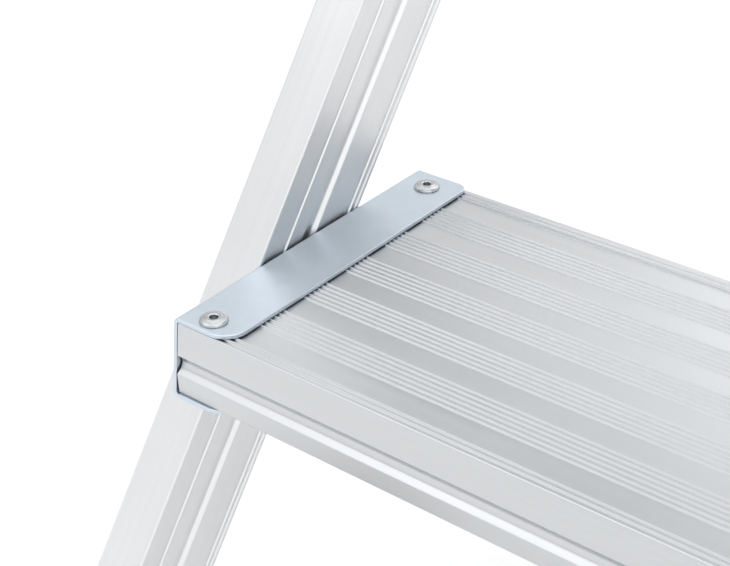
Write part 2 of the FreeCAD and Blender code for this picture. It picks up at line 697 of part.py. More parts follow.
def bracket(name, section, length, placement):
    """Folded sheet bracket: a C-shaped channel with rounded flange corners."""
    outline, tips = section
    body = extrusion(name + "_folded", [outline], length, placement)
    for end in ("rear", "front"):
        doc.recompute()
        feature = body.Tip
        corners = []
        for number, edge in enumerate(feature.Shape.Edges, 1):
            ends = [vertex.Point for vertex in edge.Vertexes]
            if len(ends) != 2 or abs(edge.Length - size("bracket_sheet")) > 0.01:
                continue
            upright = abs(ends[0].x - ends[1].x) < 0.01 and abs(ends[0].z - ends[1].z) < 0.01
            at_end = (abs(ends[0].z) < 0.01) == (end == "rear")
            if upright and at_end and min(abs(ends[0].x - tip) for tip in tips) < 0.01:
                corners.append(f"Edge{number}")
        fillet = body.newObject("PartDesign::Fillet", f"{name}_{end}_corners")
        fillet.Base = (feature, corners)
        fillet.setExpression("Radius", f"Sizes.bracket_{end}_corner")
    return body


def tread_bracket(index, side_name):
    """Bracket that wraps one end of a tread and lies on the stile's inner face."""
    side = SIDES[side_name]
    label = f"{TREAD_NAMES[index]}_{side_name}_bracket"
    top = tread_height(index)
    height = size("tread_height")
    sheet_thickness = size("bracket_sheet")
    section = channel(side, -stile_inner(top - height - sheet_thickness), -stile_inner(top + sheet_thickness),
                      height, size("bracket_flange"))
    length = derived(f"{label}_length", TREAD_DEPTH - BRACKET_INSETS)
    rear = tread_front(index) + TREAD_DEPTH - size("bracket_rear_inset")
    body = bracket(label, section, length, frame(Vector(0, rear, top), X_AXIS, Z_AXIS, Y_AXIS * -1))
    points = flange_rivet_points(index, side) + web_rivet_points(index, side)
    holes = [(centre, outward, RIVET_HOLE, 3 * sheet_thickness) for centre, outward in points]
    return keep(drilled(label, body, holes), label)


def tread_rivets(index):
    """Blind rivets through the bracket flanges into a tread."""
    grip = size("bracket_sheet") + size("tread_wall")
    shapes = []
    for side in SIDES.values():
        for centre, outward in flange_rivet_points(index, side):
            ribs = size("rib_height") if outward.z > 0 else 0
            shapes.append(rivet(centre, outward, grip + ribs))
    return group(f"{TREAD_NAMES[index]}_rivets", shapes)


def stile_rivets(index):
    """Blind rivets through the bracket webs into the stiles."""
    grip = size("bracket_sheet") + size("stile_groove_depth") + size("stile_wall")
    shapes = [rivet(centre, outward, grip)
              for side in SIDES.values() for centre, outward in web_rivet_points(index, side)]
    return group(f"{TREAD_NAMES[index]}_stile_rivets", shapes)


def side_frame(side):
    """Placement on the rear end of a platform side: X points inwards or outwards, Z to the front."""
    edge = Vector(-side * platform_half(PLATFORM_REAR), PLATFORM_REAR, size("platform_height"))
    inward = Vector(1, -side * FOLD_SLOPE, 0).normalize()
    return frame(edge, inward, Z_AXIS, inward.cross(Z_AXIS))


def platform_deck():
    """Ribbed platform, narrower at the rear so that it folds up between the stiles."""
    label = "platform_deck"
    widest = platform_half(PLATFORM_FRONT)
    length = derived("platform_blank", 2 * widest)
    body = extrusion(label + "_profile", deck_section(PLATFORM_GROUPS, PLATFORM_DEPTH, PLATFORM_CELLS), length,
                     frame(Vector(-widest, PLATFORM_FRONT, size("platform_height")), Y_AXIS, Z_AXIS, X_AXIS))
    edge = (size("bracket_sheet") + size("tread_end_gap")) / math.cos(math.atan(FOLD_SLOPE))
    ends = trimmed(label, body, frame(Vector(0, PLATFORM_FRONT, size("platform_height")), X_AXIS, Y_AXIS, Z_AXIS),
                   platform_half(PLATFORM_FRONT) - edge, platform_half(PLATFORM_REAR) - edge, PLATFORM_DEPTH,
                   2 * size("tread_height"))
    holes = [(centre, Z_AXIS, RIVET_HOLE, 2 * (size("bracket_sheet") + size("tread_wall") + 1.5))
             for side in SIDES.values() for centre, up in platform_rivet_points(side)]
    holes += [(centre, Z_AXIS, RIVET_HOLE, 2 * (size("bracket_sheet") + size("tread_wall") + 1.5))
              for centre in hook_rivet_points()]
    return keep(drilled(label, ends, holes), label)


def platform_rivet_points(side):
    """Seats and directions of the rivets on the platform's side brackets."""
    base = side_frame(side)
    sheet_thickness = size("bracket_sheet")
    length = PLATFORM_DEPTH / math.cos(math.atan(FOLD_SLOPE))
    points = []
    for level, up in ((sheet_thickness, Z_AXIS), (-size("tread_height") - sheet_thickness, Z_AXIS * -1)):
        ends = (size("rivet_rear"), size("rivet_front"))
        if up.z < 0:
            ends = (size("rivet_before_tube"), size("rivet_under"))
        for reach in (ends[0], length * PLATFORM_MIDDLE, length - ends[1]):
            local = Vector(side * size("rivet_side"), level, reach)
            points.append((base.multVec(local), up))
    return points


def platform_bracket(side_name):
    """Bracket along one side of the platform, with the bore for its pivot bolt."""
    side = SIDES[side_name]
    label = f"platform_{side_name}_bracket"
    section = channel(side, 0, 0, size("tread_height"), size("bracket_flange"))
    slant = math.cos(math.atan(FOLD_SLOPE))
    length = derived(f"{label}_length", (PLATFORM_DEPTH - BRACKET_INSETS) / slant)
    start = Placement(Vector(0, 0, size("bracket_rear_inset") / slant), Rotation())
    body = bracket(label, section, length, side_frame(side).multiply(start))
    holes = [(centre, up, RIVET_HOLE, 3 * size("bracket_sheet")) for centre, up in platform_rivet_points(side)]
    pivot = Vector(-side * platform_half(PIVOT_Y), PIVOT_Y, PIVOT_Z)
    holes.append((pivot, X_AXIS, PIVOT_BORE, 4 * size("bracket_sheet") + size("pivot_bolt")))
    return keep(drilled(label, body, holes), label)


def platform_rivets():
    """Blind rivets of the platform's side brackets."""
    grip = size("bracket_sheet") + size("tread_wall")
    shapes = []
    for side in SIDES.values():
        for centre, outward in platform_rivet_points(side):
            ribs = size("rib_height") if outward.z > 0 else 0
            shapes.append(rivet(centre, outward, grip + ribs))
    return group("platform_rivets", shapes)


def hook_levels():
    """Level of the deck's underside and Y of the hook lip's inner face."""
    under = size("platform_height") - size("tread_height")
    return under, TUBE_Y + size("support_tube") / 2 + 2 * size("rest_gap")


def hook_rivet_points():
    """Rivet seats below the platform hooks."""
    under, lip = hook_levels()
    level = under - size("bracket_sheet")
    y = lip - size("hook_reach") + size("hook_rivet_edge")
    offset = size("hook_width") / 4
    return [Vector(centre + shift, y, level) for centre in (-size("hook_spread"), size("hook_spread"))
            for shift in (-offset, offset)]


def platform_hooks():
    """Two folded hooks that catch behind the support tube and keep the frames from spreading."""
    under, lip = hook_levels()
    thickness = size("bracket_sheet")
    bend = size("bracket_bend")
    front = -size("hook_reach")
    outline = [(front, under, 0), (thickness, under, bend + thickness),
               (thickness, under - thickness - size("hook_drop"), 0.6), (0, under - thickness - size("hook_drop"), 0.6),
               (0, under - thickness, bend), (front, under - thickness, 0)]
    shapes = []
    for centre in (-size("hook_spread"), size("hook_spread")):
        edges = [curve.toShape() for curve in rounded(outline)]
        wire = Part.Wire(edges)
        hook = Part.Face(wire).extrude(Vector(0, 0, size("hook_width")))
        hook.Placement = frame(Vector(centre - size("hook_width") / 2, lip, 0), Y_AXIS, Z_AXIS, X_AXIS)
        for point in hook_rivet_points():
            hole = size("rivet_shank") / 2 + size("rivet_clearance")
            hook = hook.cut(Part.makeCylinder(hole, 4 * thickness, point - Z_AXIS * thickness))
        shapes.append(hook)
    return group("platform_hooks", shapes)


def hook_rivets():
    """Blind rivets of the platform hooks."""
    grip = size("bracket_sheet") + size("tread_wall")
    return group("platform_hook_rivets", [rivet(point, Z_AXIS * -1, grip) for point in hook_rivet_points()])


# ---------------------------------------------------------------- hinge, pivots and top rail

def hinge_bolts():
    """Bolts through the front and rear stiles, on one axis across the ladder."""
    shapes = []
    for side in SIDES.values():
        inner = face_x(placed_stile(side, "front"), 0, HINGE_Y, HINGE_Z)
        outer = face_x(placed_stile(side, "rear"), side * size("stile_width"), HINGE_Y, HINGE_Z)
        tilt = SPLAY * size("hinge_head") / 2
        start = Vector(inner + side * tilt, HINGE_Y, HINGE_Z)
        length = abs(outer - start.x) + tilt + size("rest_gap") + size("hinge_head_height") * 1.6
        shapes.append(bolt(start, X_AXIS * -side, size("hinge_bolt"), length, size("hinge_head"),
                           size("hinge_head_height")))
    return group("hinge_bolts", shapes)


def hinge_nuts():
    """Hexagon nuts outside the rear stiles."""
    shapes = []
    across = size("hinge_head") / 2
    for side in SIDES.values():
        outer = face_x(placed_stile(side, "rear"), side * size("stile_width"), HINGE_Y, HINGE_Z)
        start = Vector(outer - side * (SPLAY * across + size("rest_gap")), HINGE_Y, HINGE_Z)
        corners = [Vector(across * math.cos(math.radians(60 * turn)), across * math.sin(math.radians(60 * turn)), 0)
                   for turn in range(6)]
        nut = Part.Face(Part.makePolygon(corners + corners[:1])).extrude(Z_AXIS * size("hinge_head_height"))
        nut = nut.cut(Part.makeCylinder(size("hinge_bolt") / 2, size("hinge_head_height")))
        nut.Placement = Placement(start, Rotation(Z_AXIS, X_AXIS * -side))
        shapes.append(nut)
    return group("hinge_nuts", shapes)


def hinge_spacers():
    """Plastic spacers between the front and the rear stiles."""
    shapes = []
    for side in SIDES.values():
        inner = face_x(placed_stile(side, "front"), side * size("stile_width"), HINGE_Y, HINGE_Z)
        outer = face_x(placed_stile(side, "rear"), 0, HINGE_Y, HINGE_Z)
        middle = (inner + outer) / 2
        width = size("hinge_spacer_width")
        start = Vector(middle - width / 2, HINGE_Y, HINGE_Z)
        shapes.append(ring(start, X_AXIS, size("hinge_bolt") + 2 * size("bearing_clearance"),
                           size("hinge_spacer"), width))
    return group("hinge_spacers", shapes)


def platform_pivot_spots(side):
    """X of the stile's outer face, its inner face and the platform bracket along the pivot axis."""
    base = placed_stile(side, "front")
    return (face_x(base, side * size("stile_width"), PIVOT_Y, PIVOT_Z), face_x(base, 0, PIVOT_Y, PIVOT_Z),
            -side * platform_half(PIVOT_Y))


def platform_pivot_bolts():
    """Bolts on which the platform tilts, one through each front stile."""
    shapes = []
    for side in SIDES.values():
        outer, inner, plate = platform_pivot_spots(side)
        start = Vector(outer - side * SPLAY * size("pivot_head") / 2, PIVOT_Y, PIVOT_Z)
        length = abs(plate - start.x) + 2 * size("bracket_sheet") + size("pivot_nut_height") + 2
        shapes.append(bolt(start, X_AXIS * side, size("pivot_bolt"), length, size("pivot_head"),
                           size("pivot_head_height")))
    return group("platform_pivot_bolts", shapes)


def platform_pivot_nuts():
    """Lock nuts on the platform bolts, inside the hollow of the deck."""
    shapes = []
    for side in SIDES.values():
        plate = platform_pivot_spots(side)[2]
        inside = plate + side * (size("bracket_sheet") + FOLD_SLOPE * size("pivot_head") / 2 + size("rest_gap"))
        shapes.append(ring(Vector(inside, PIVOT_Y, PIVOT_Z), X_AXIS * side, size("pivot_bolt"),
                           size("pivot_head"), size("pivot_nut_height")))
    return group("platform_pivot_nuts", shapes)


def platform_pivot_spacers():
    """Plastic spacers between the front stiles and the platform."""
    shapes = []
    for side in SIDES.values():
        outer, inner, plate = platform_pivot_spots(side)
        radius = size("pivot_spacer") / 2
        start = inner + side * (SPLAY * radius + size("seat_clearance"))
        end = plate - side * (FOLD_SLOPE * radius + size("rest_gap"))
        shapes.append(ring(Vector(start, PIVOT_Y, PIVOT_Z), X_AXIS * side,
                           size("pivot_bolt") + 2 * size("bearing_clearance"), size("pivot_spacer"),
                           abs(end - start)))
    return group("platform_pivot_spacers", shapes)


def top_rail():
    """Tube between the upper ends of the front stiles, cut to their splay."""
    y, z = rail_axis()
    diameter = size("rail_diameter")
    half = stile_inner(z) + diameter * SPLAY
    length = derived("top_rail_blank", 2 * half)
    rings = [circle(diameter), circle(diameter - 2 * size("rail_wall"))]
    body = extrusion("top_rail_tube", rings, length, frame(Vector(-half, y, z), Y_AXIS, Z_AXIS, X_AXIS))
    low = z - diameter
    ends = trimmed("top_rail", body, frame(Vector(0, y, low), X_AXIS, Z_AXIS, Y_AXIS * -1),
                   stile_inner(low) - size("seat_clearance"), stile_inner(low + 2 * diameter) - size("seat_clearance"),
                   2 * diameter, 2 * diameter)
    return keep(ends, "top_rail")


def rail_plugs():
    """Plastic plugs inside the ends of the top rail, which the rail bolts screw into."""
    y, z = rail_axis()
    shapes = []
    for side in SIDES.values():
        start = Vector(-side * (stile_inner(z) - size("rail_diameter") * SPLAY), y, z)
        shapes.append(ring(start, X_AXIS * side, size("rail_bolt"),
                           size("rail_diameter") - 2 * size("rail_wall") - 2 * size("seat_clearance"),
                           size("rail_plug")))
    return group("top_rail_plugs", shapes)


def rail_bolts():
    """Bolts through the front stiles into the top rail's plugs."""
    y, z = rail_axis()
    shapes = []
    for side in SIDES.values():
        outer = face_x(placed_stile(side, "front"), side * size("stile_width"), y, z)
        start = Vector(outer - side * SPLAY * size("rail_bolt_head") / 2, y, z)
        length = abs(start.x) - stile_inner(z) + size("rail_bolt_reach")
        shapes.append(bolt(start, X_AXIS * side, size("rail_bolt"), length, size("rail_bolt_head"),
                           size("pivot_head_height")))
    return group("top_rail_bolts", shapes)


# ---------------------------------------------------------------- rear frame cross members

def rear_point(reach, offset):
    """Y and Z of a point on the open rear frame: reach below the hinge and offset behind the stile's middle."""
    y = HINGE_Y + reach * math.sin(REAR_ANGLE) + offset * math.cos(REAR_ANGLE)
    z = HINGE_Z - reach * math.cos(REAR_ANGLE) + offset * math.sin(REAR_ANGLE)
    return y, z


def rear_edge(reach, across):
    """X of the left rear stile's face (across = 0 inner, 1 outer) behind the stile, reach below the hinge."""
    y, z = rear_point(reach, size("stile_depth") / 2)
    return face_x(placed_stile(1, "rear"), across * size("stile_width"), y, z)


def cross_member(name, outlines, reach, offset):
    """Extrusion across the rear frame, flush with the outer faces of the rear stiles."""
    y, z = rear_point(reach, offset)
    half = abs(rear_edge(reach, 1))
    length = derived(f"{name}_length", 2 * half)
    return extrusion(name, outlines, length, frame(Vector(-half, y, z), REAR_NORMAL, REAR_UP, X_AXIS))


def support_tube():
    """Round tube across the rear frame, under the platform's rear edge."""
    outlines = [circle(size("support_tube")), circle(size("support_tube") - 2 * size("support_wall"))]
    return keep(cross_member("platform_support_tube", outlines, TUBE_REACH, TUBE_OFFSET), "platform_support_tube")


def tube_cleats():
    """Cleats that hold the support tube on the rear stiles."""
    y, z = rear_point(TUBE_REACH, TUBE_OFFSET)
    radius = size("support_tube") / 2
    wall = size("bracket_sheet")
    seat = REAR_SEAT + size("seat_clearance")
    shapes = []
    for side in SIDES.values():
        inner = abs(rear_edge(TUBE_REACH, 0))
        outer = abs(rear_edge(TUBE_REACH, 1))
        width = (outer - inner) * 0.8
        start_x = -side * (inner + outer) / 2 - width / 2
        base = frame(Vector(start_x, y, z), REAR_NORMAL, REAR_UP, X_AXIS)
        plate = Part.makeBox(size("support_seat") - size("seat_clearance"), 3.4 * radius, width,
                             Vector(seat - TUBE_OFFSET, -1.7 * radius, 0))
        bore = radius + size("seat_clearance")
        collar = Part.makeCylinder(bore + wall, width)
        collar = collar.common(Part.makeBox(4 * radius, 4 * radius, width,
                                            Vector(seat - TUBE_OFFSET, -2 * radius, 0)))
        cleat = plate.fuse(collar).cut(Part.makeCylinder(bore, width))
        cleat.Placement = base
        shapes.append(cleat)
    return group("support_tube_cleats", shapes)


def brace(label, reach):
    """Rectangular tube riveted on the rear faces of the rear stiles."""
    half_depth = size("brace_depth") / 2
    half_height = size("brace_height") / 2
    wall = size("brace_wall")
    outer = [(-half_depth, -half_height, 1.5), (half_depth, -half_height, 1.5), (half_depth, half_height, 1.5),
             (-half_depth, half_height, 1.5)]
    inner = [(x - math.copysign(wall, x), y - math.copysign(wall, y)) for x, y, radius in outer]
    offset = REAR_SEAT + size("seat_clearance") + half_depth
    body = cross_member(label + "_profile", [rounded(outer), rounded(inner)], reach, offset)
    holes = [(centre, outward, RIVET_HOLE, 3 * size("brace_depth"))
             for side in SIDES.values() for centre, outward in brace_rivet_points(reach, side)]
    return keep(drilled(label, body, holes), label)


def brace_rivet_points(reach, side):
    """Seats and directions of a brace's rivets on one rear stile."""
    offset = REAR_SEAT + size("seat_clearance") + size("brace_depth")
    x = -side * (abs(rear_edge(reach, 0)) + abs(rear_edge(reach, 1))) / 2
    points = []
    for shift in (-size("brace_height") / 4, size("brace_height") / 4):
        y, z = rear_point(reach + shift, offset)
        points.append((Vector(x, y, z), REAR_NORMAL))
    return points


def brace_rivets():
    """Blind rivets of both braces."""
    grip = size("brace_depth") + size("seat_clearance") + REAR_WEDGE + size("stile_wall") + size("rest_gap")
    shapes = [rivet(centre, outward, grip)
              for reach in (size("upper_brace_reach"), size("lower_brace_reach"))
              for side in SIDES.values() for centre, outward in brace_rivet_points(reach, side)]
    return group("brace_rivets", shapes)


# ---------------------------------------------------------------- assembly

for name in SIDES:
    for frame_kind in ("front", "rear"):
        stile(name, frame_kind)
        foot(name, frame_kind)
        cap(name, frame_kind)
for number in range(len(TREAD_NAMES)):
    tread(number)
    tread_rivets(number)
    stile_rivets(number)
    for name in SIDES:
        tread_bracket(number, name)
platform_deck()
for name in SIDES:
    platform_bracket(name)
platform_rivets()
platform_hooks()
hook_rivets()
hinge_bolts()
hinge_nuts()
hinge_spacers()
platform_pivot_bolts()
platform_pivot_nuts()
platform_pivot_spacers()
top_rail()
rail_plugs()
rail_bolts()
support_tube()
tube_cleats()
brace("upper_rear_brace", size("upper_brace_reach"))
brace("lower_rear_brace", size("lower_brace_reach"))
brace_rivets()

doc.recompute()
for item in doc.Objects:
    if "Invalid" in item.State or "Error" in item.State:
        raise RuntimeError(f"{item.Name} is in state {item.State}")
os.makedirs("parts", exist_ok=True)
for piece in NODES:
    if piece.Shape.isNull() or not piece.Shape.isValid() or piece.Shape.Volume <= 0:
        raise RuntimeError(f"{piece.Label} has no valid shape")
for piece in NODES:
    piece.Shape.exportStep(f"parts/{piece.Label}.step")
    print(f"{piece.Label}: {len(piece.Shape.Solids)} solids, {piece.Shape.Volume / 1000:.2f} cm3")
print(f"hinge axis Y {HINGE_Y:.4f} Z {HINGE_Z:.4f}")
print(f"platform pivot Y {PIVOT_Y:.4f} Z {PIVOT_Z:.4f}")
print(f"support tube Y {TUBE_Y:.4f} Z {TUBE_Z:.4f} reach {TUBE_REACH:.3f}")
print(f"tread depth {TREAD_DEPTH:.3f}, platform depth {PLATFORM_DEPTH:.3f}, front Y {FRONT_Y:.4f}")
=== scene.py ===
"""Looks of a folding aluminium step ladder: eased extrusion edges, spun blind rivets, moulded shoes and end caps."""
import json
import logging
import math
import sys
from collections.abc import Callable
from dataclasses import dataclass, field
from enum import Enum

import bmesh
import bpy
import numpy as np
from mathutils import Matrix, Vector

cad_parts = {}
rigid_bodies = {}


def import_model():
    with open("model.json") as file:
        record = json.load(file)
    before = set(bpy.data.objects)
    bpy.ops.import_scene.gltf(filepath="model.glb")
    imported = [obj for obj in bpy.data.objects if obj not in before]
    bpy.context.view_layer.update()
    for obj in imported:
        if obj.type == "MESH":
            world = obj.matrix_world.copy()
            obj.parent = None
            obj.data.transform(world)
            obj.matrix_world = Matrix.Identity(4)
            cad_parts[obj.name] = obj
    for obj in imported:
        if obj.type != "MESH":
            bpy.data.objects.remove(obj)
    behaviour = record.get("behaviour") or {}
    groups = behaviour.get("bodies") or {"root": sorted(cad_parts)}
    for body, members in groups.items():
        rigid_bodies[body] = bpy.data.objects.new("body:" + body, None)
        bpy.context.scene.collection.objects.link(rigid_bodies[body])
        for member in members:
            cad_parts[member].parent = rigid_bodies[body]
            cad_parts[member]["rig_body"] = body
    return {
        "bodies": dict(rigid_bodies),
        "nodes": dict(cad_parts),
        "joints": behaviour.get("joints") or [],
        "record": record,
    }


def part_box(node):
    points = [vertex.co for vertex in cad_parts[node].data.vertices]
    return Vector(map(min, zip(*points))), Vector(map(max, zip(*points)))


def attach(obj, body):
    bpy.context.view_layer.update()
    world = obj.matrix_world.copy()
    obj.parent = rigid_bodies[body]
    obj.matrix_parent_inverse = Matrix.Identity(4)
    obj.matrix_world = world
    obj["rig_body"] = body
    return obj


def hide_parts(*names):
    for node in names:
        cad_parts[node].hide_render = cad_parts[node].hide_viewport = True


LOG = logging.getLogger("step_ladder")
MM = 0.001
SEAM = 0.002 * MM
X_AXIS = Vector((1.0, 0.0, 0.0))
Y_AXIS = Vector((0.0, 1.0, 0.0))
Z_AXIS = Vector((0.0, 0.0, 1.0))
CROSSWISE = (1.0, 0.0, 0.0)
Axes = tuple[Vector, Vector, Vector]
Points = tuple[tuple[float, float], ...]


class Side(Enum):
    """Half of the ladder, with the sign of the X direction that points inwards from it."""

    LEFT = 1
    RIGHT = -1

    @property
    def label(self) -> str:
        """The side's word in the names of nodes."""
        return self.name.lower()


# ------------------------------ shader building

class Shade:
    """A shader socket that adds Math nodes when it is used in an expression."""

    def __init__(self, bench: "Bench", socket: bpy.types.NodeSocket) -> None:
        """Wrap one output socket.

        Args:
            bench: The material that the socket belongs to.
            socket: The output socket.
        """
        self.bench = bench
        self.socket = socket

    def _math(self, operation: str, first: object, second: object) -> "Shade":
        """Add one Math node and return its result."""
        return self.bench.node("ShaderNodeMath", {"operation": operation}, {0: first, 1: second})

    def __add__(self, other: object) -> "Shade":
        """self + other."""
        return self._math("ADD", self, other)

    __radd__ = __add__

    def __sub__(self, other: object) -> "Shade":
        """self - other."""
        return self._math("SUBTRACT", self, other)

    def __rsub__(self, other: object) -> "Shade":
        """other - self."""
        return self._math("SUBTRACT", other, self)

    def __mul__(self, other: object) -> "Shade":
        """self * other."""
        return self._math("MULTIPLY", self, other)

    __rmul__ = __mul__


class Bench:
    """One node tree, of a material or of the world."""

    def __init__(self, owner: bpy.types.Material | bpy.types.World) -> None:
        """Start with an empty tree.

        Args:
            owner: The material or world to work on.
        """
        owner.use_nodes = True
        self.owner = owner
        self.tree = owner.node_tree
        self.tree.nodes.clear()

    def node(self, kind: str, settings: dict | None = None, inputs: dict | None = None,
             output: int | str = 0) -> Shade:
        """Add a node, set it up and return one of its outputs.

        Args:
            kind: Node type.
            settings: Properties, and "stops" for a ramp, set before the inputs.
            inputs: Values or Shade links by input name or index.
            output: Which output to return.

        Returns:
            The chosen output.
        """
        made = self.tree.nodes.new(kind)
        for key, value in (settings or {}).items():
            if key == "stops":
                self._set_stops(made, value)
            else:
                setattr(made, key, value)
        for key, value in (inputs or {}).items():
            if isinstance(value, Shade):
                self.tree.links.new(value.socket, made.inputs[key])
            else:
                made.inputs[key].default_value = value
        return Shade(self, made.outputs[output]) if len(made.outputs) else Shade(self, None)

    @staticmethod
    def _set_stops(ramp: bpy.types.Node, stops: list[tuple[float, tuple]]) -> None:
        """Give a ramp its (position, colour) stops."""
        elements = ramp.color_ramp.elements
        while len(elements) < len(stops):
            elements.new(1.0)
        for element, (position, colour) in zip(elements, stops):
            element.position = position
            element.color = colour

    def place(self) -> Shade:
        """Object coordinates, in metres."""
        return self.node("ShaderNodeTexCoord", output="Object")

    def along(self, vector: Shade, axis: Vector) -> Shade:
        """Distance of coordinates along a unit vector."""
        return self.node("ShaderNodeVectorMath", {"operation": "DOT_PRODUCT"},
                         {0: vector, 1: tuple(axis)}, output="Value")

    def drawn_out(self, grain: Vector, stretch: float) -> Shade:
        """Object coordinates squeezed along a direction, so that a pattern turns into streaks.

        Args:
            grain: Unit vector of the streaks.
            stretch: How many times longer than wide the pattern gets.

        Returns:
            Coordinates for a texture.
        """
        place = self.place()
        across = grain.cross(Z_AXIS if abs(grain.z) < 0.7 else Y_AXIS).normalized()
        third = grain.cross(across)
        return self.node("ShaderNodeCombineXYZ", {}, {
            "X": self.along(place, across), "Y": self.along(place, third),
            "Z": self.along(place, grain) * (1.0 / stretch)})

    def noise(self, vector: Shade, scale: float, detail: float = 2.0, roughness: float = 0.5) -> Shade:
        """Noise value between 0 and 1.

        Args:
            vector: Coordinates.
            scale: Cycles per metre.
            detail: Octaves.
            roughness: Weight of the fine octaves.

        Returns:
            The noise factor.
        """
        return self.node("ShaderNodeTexNoise", {}, {"Vector": vector, "Scale": scale, "Detail": detail,
                                                    "Roughness": roughness}, output=0)

    def mix(self, factor: Shade | float, first: Shade | tuple, second: Shade | tuple) -> Shade:
        """Blend two colours: factor 0 gives the first, 1 the second."""
        return self.node("ShaderNodeMix", {"data_type": "RGBA"}, {0: factor, 6: first, 7: second}, output=2)

    def stretch(self, value: Shade, low: float, high: float) -> Shade:
        """Stretch a value so that low becomes 0 and high becomes 1, clamped."""
        return self.node("ShaderNodeMapRange", {"clamp": True}, {
            "Value": value, "From Min": low, "From Max": high, "To Min": 0.0, "To Max": 1.0})

    def bump(self, height: Shade, distance: float, strength: float = 1.0) -> Shade:
        """Normal from a height pattern that is distance metres deep."""
        return self.node("ShaderNodeBump", {}, {"Height": height, "Distance": distance, "Strength": strength})

    def close(self, **inputs: object) -> bpy.types.Material:
        """Close the tree with one Principled shader.

        Args:
            inputs: Shader inputs, with spaces written as underscores.

        Returns:
            The finished material.
        """
        shader = self.node("ShaderNodeBsdfPrincipled", {},
                           {key.replace("_", " "): value for key, value in inputs.items()})
        self.node("ShaderNodeOutputMaterial", {}, {"Surface": shader})
        return self.owner


def grey(value: float, tint: float = 0.0) -> tuple[float, float, float, float]:
    """Grey of a linear value, cooler with a positive tint.

    Args:
        value: Linear brightness.
        tint: Share taken from red and given to blue.

    Returns:
        An RGBA colour.
    """
    return value * (1.0 - tint), value, value * (1.0 + tint), 1.0


# ------------------------------ finishes

@dataclass(frozen=True)
class DrawnAluminium:
    """Mill-finished extrusion with fine die lines along its length."""

    name: str
    grain: tuple[float, float, float]
    tone: float = 0.80
    tint: float = 0.012
    roughness: float = 0.34
    die_scale: float = 900.0
    die_depth: float = 0.02 * MM
    fine_streak: float = 260.0
    broad_streak: float = 60.0
    broad_share: float = 9.0
    haze_scale: float = 22.0
    contrast: float = 0.04

    def make(self) -> bpy.types.Material:
        """Build the material."""
        bench = Bench(bpy.data.materials.new(self.name))
        grain = Vector(self.grain).normalized()
        fine = bench.noise(bench.drawn_out(grain, self.fine_streak), self.die_scale, detail=3.0, roughness=0.7)
        broad = bench.noise(bench.drawn_out(grain, self.broad_streak), self.die_scale / self.broad_share)
        haze = bench.noise(bench.place(), self.haze_scale, detail=3.0, roughness=0.55)
        lines = bench.stretch(fine * 0.65 + broad * 0.35, low=0.36, high=0.64)
        cloud = bench.stretch(haze, low=0.3, high=0.7)
        light = grey(self.tone * (1.0 + self.contrast), self.tint)
        dull = grey(self.tone * (1.0 - self.contrast), self.tint)
        colour = bench.mix(lines * 0.6 + cloud * 0.4, dull, light)
        return bench.close(Base_Color=colour, Metallic=1.0,
                           Roughness=self.roughness - 0.05 + lines * 0.07 + cloud * 0.04,
                           Normal=bench.bump(lines, self.die_depth, strength=0.35))


@dataclass(frozen=True)
class ZincSheet:
    """Zinc-plated sheet steel, slightly blue, with a soft spangle and light handling marks."""

    name: str
    tone: float = 0.62
    tint: float = 0.095
    roughness: float = 0.36
    cloud_scale: float = 45.0
    spangle_scale: float = 260.0
    fleck_scale: float = 1500.0
    mark_scale: float = 700.0
    mark_streak: float = 18.0
    contrast: float = 0.05
    dull_tint: float = 1.15
    depth: float = 0.006 * MM

    def make(self) -> bpy.types.Material:
        """Build the material."""
        bench = Bench(bpy.data.materials.new(self.name))
        place = bench.place()
        cloud = bench.stretch(bench.noise(place, self.cloud_scale, detail=3.0, roughness=0.6), low=0.32, high=0.68)
        flakes = bench.node("ShaderNodeTexVoronoi", {"feature": "F1"},
                            {"Vector": place, "Scale": self.spangle_scale}, output="Distance")
        flecks = bench.stretch(bench.noise(place, self.fleck_scale, roughness=0.7), low=0.35, high=0.7)
        streaks = bench.noise(bench.drawn_out(Y_AXIS, self.mark_streak), self.mark_scale, roughness=0.6)
        marks = bench.stretch(streaks, low=0.6, high=0.72)
        pattern = cloud * 0.55 + bench.stretch(flakes, low=0.0, high=0.9) * 0.25 + flecks * 0.2
        dull = grey(self.tone * (1.0 - self.contrast), self.tint * self.dull_tint)
        colour = bench.mix(pattern, dull, grey(self.tone * (1.0 + self.contrast), self.tint))
        return bench.close(Base_Color=colour, Metallic=1.0,
                           Roughness=self.roughness - 0.03 + pattern * 0.06 + marks * 0.06,
                           Normal=bench.bump(flecks * 0.6 + flakes * 0.4, self.depth, strength=0.2))


@dataclass(frozen=True)
class BrightPlate:
    """Bright plating on small turned or pressed steel, with faint tool marks."""

    name: str
    tone: float = 0.78
    tint: float = 0.01
    roughness: float = 0.24
    fine_scale: float = 1800.0
    broad_scale: float = 260.0
    worn_tone: float = 0.84
    bright_tone: float = 1.08
    depth: float = 0.015 * MM

    def make(self) -> bpy.types.Material:
        """Build the material."""
        bench = Bench(bpy.data.materials.new(self.name))
        place = bench.place()
        fine = bench.stretch(bench.noise(place, self.fine_scale, detail=3.0, roughness=0.65), low=0.35, high=0.65)
        broad = bench.stretch(bench.noise(place, self.broad_scale), low=0.3, high=0.7)
        worn = fine * 0.45 + broad * 0.55
        colour = bench.mix(worn, grey(self.tone * self.worn_tone, self.tint),
                           grey(self.tone * self.bright_tone, self.tint))
        return bench.close(Base_Color=colour, Metallic=1.0, Roughness=self.roughness + worn * 0.12,
                           Normal=bench.bump(worn, self.depth, strength=0.4))


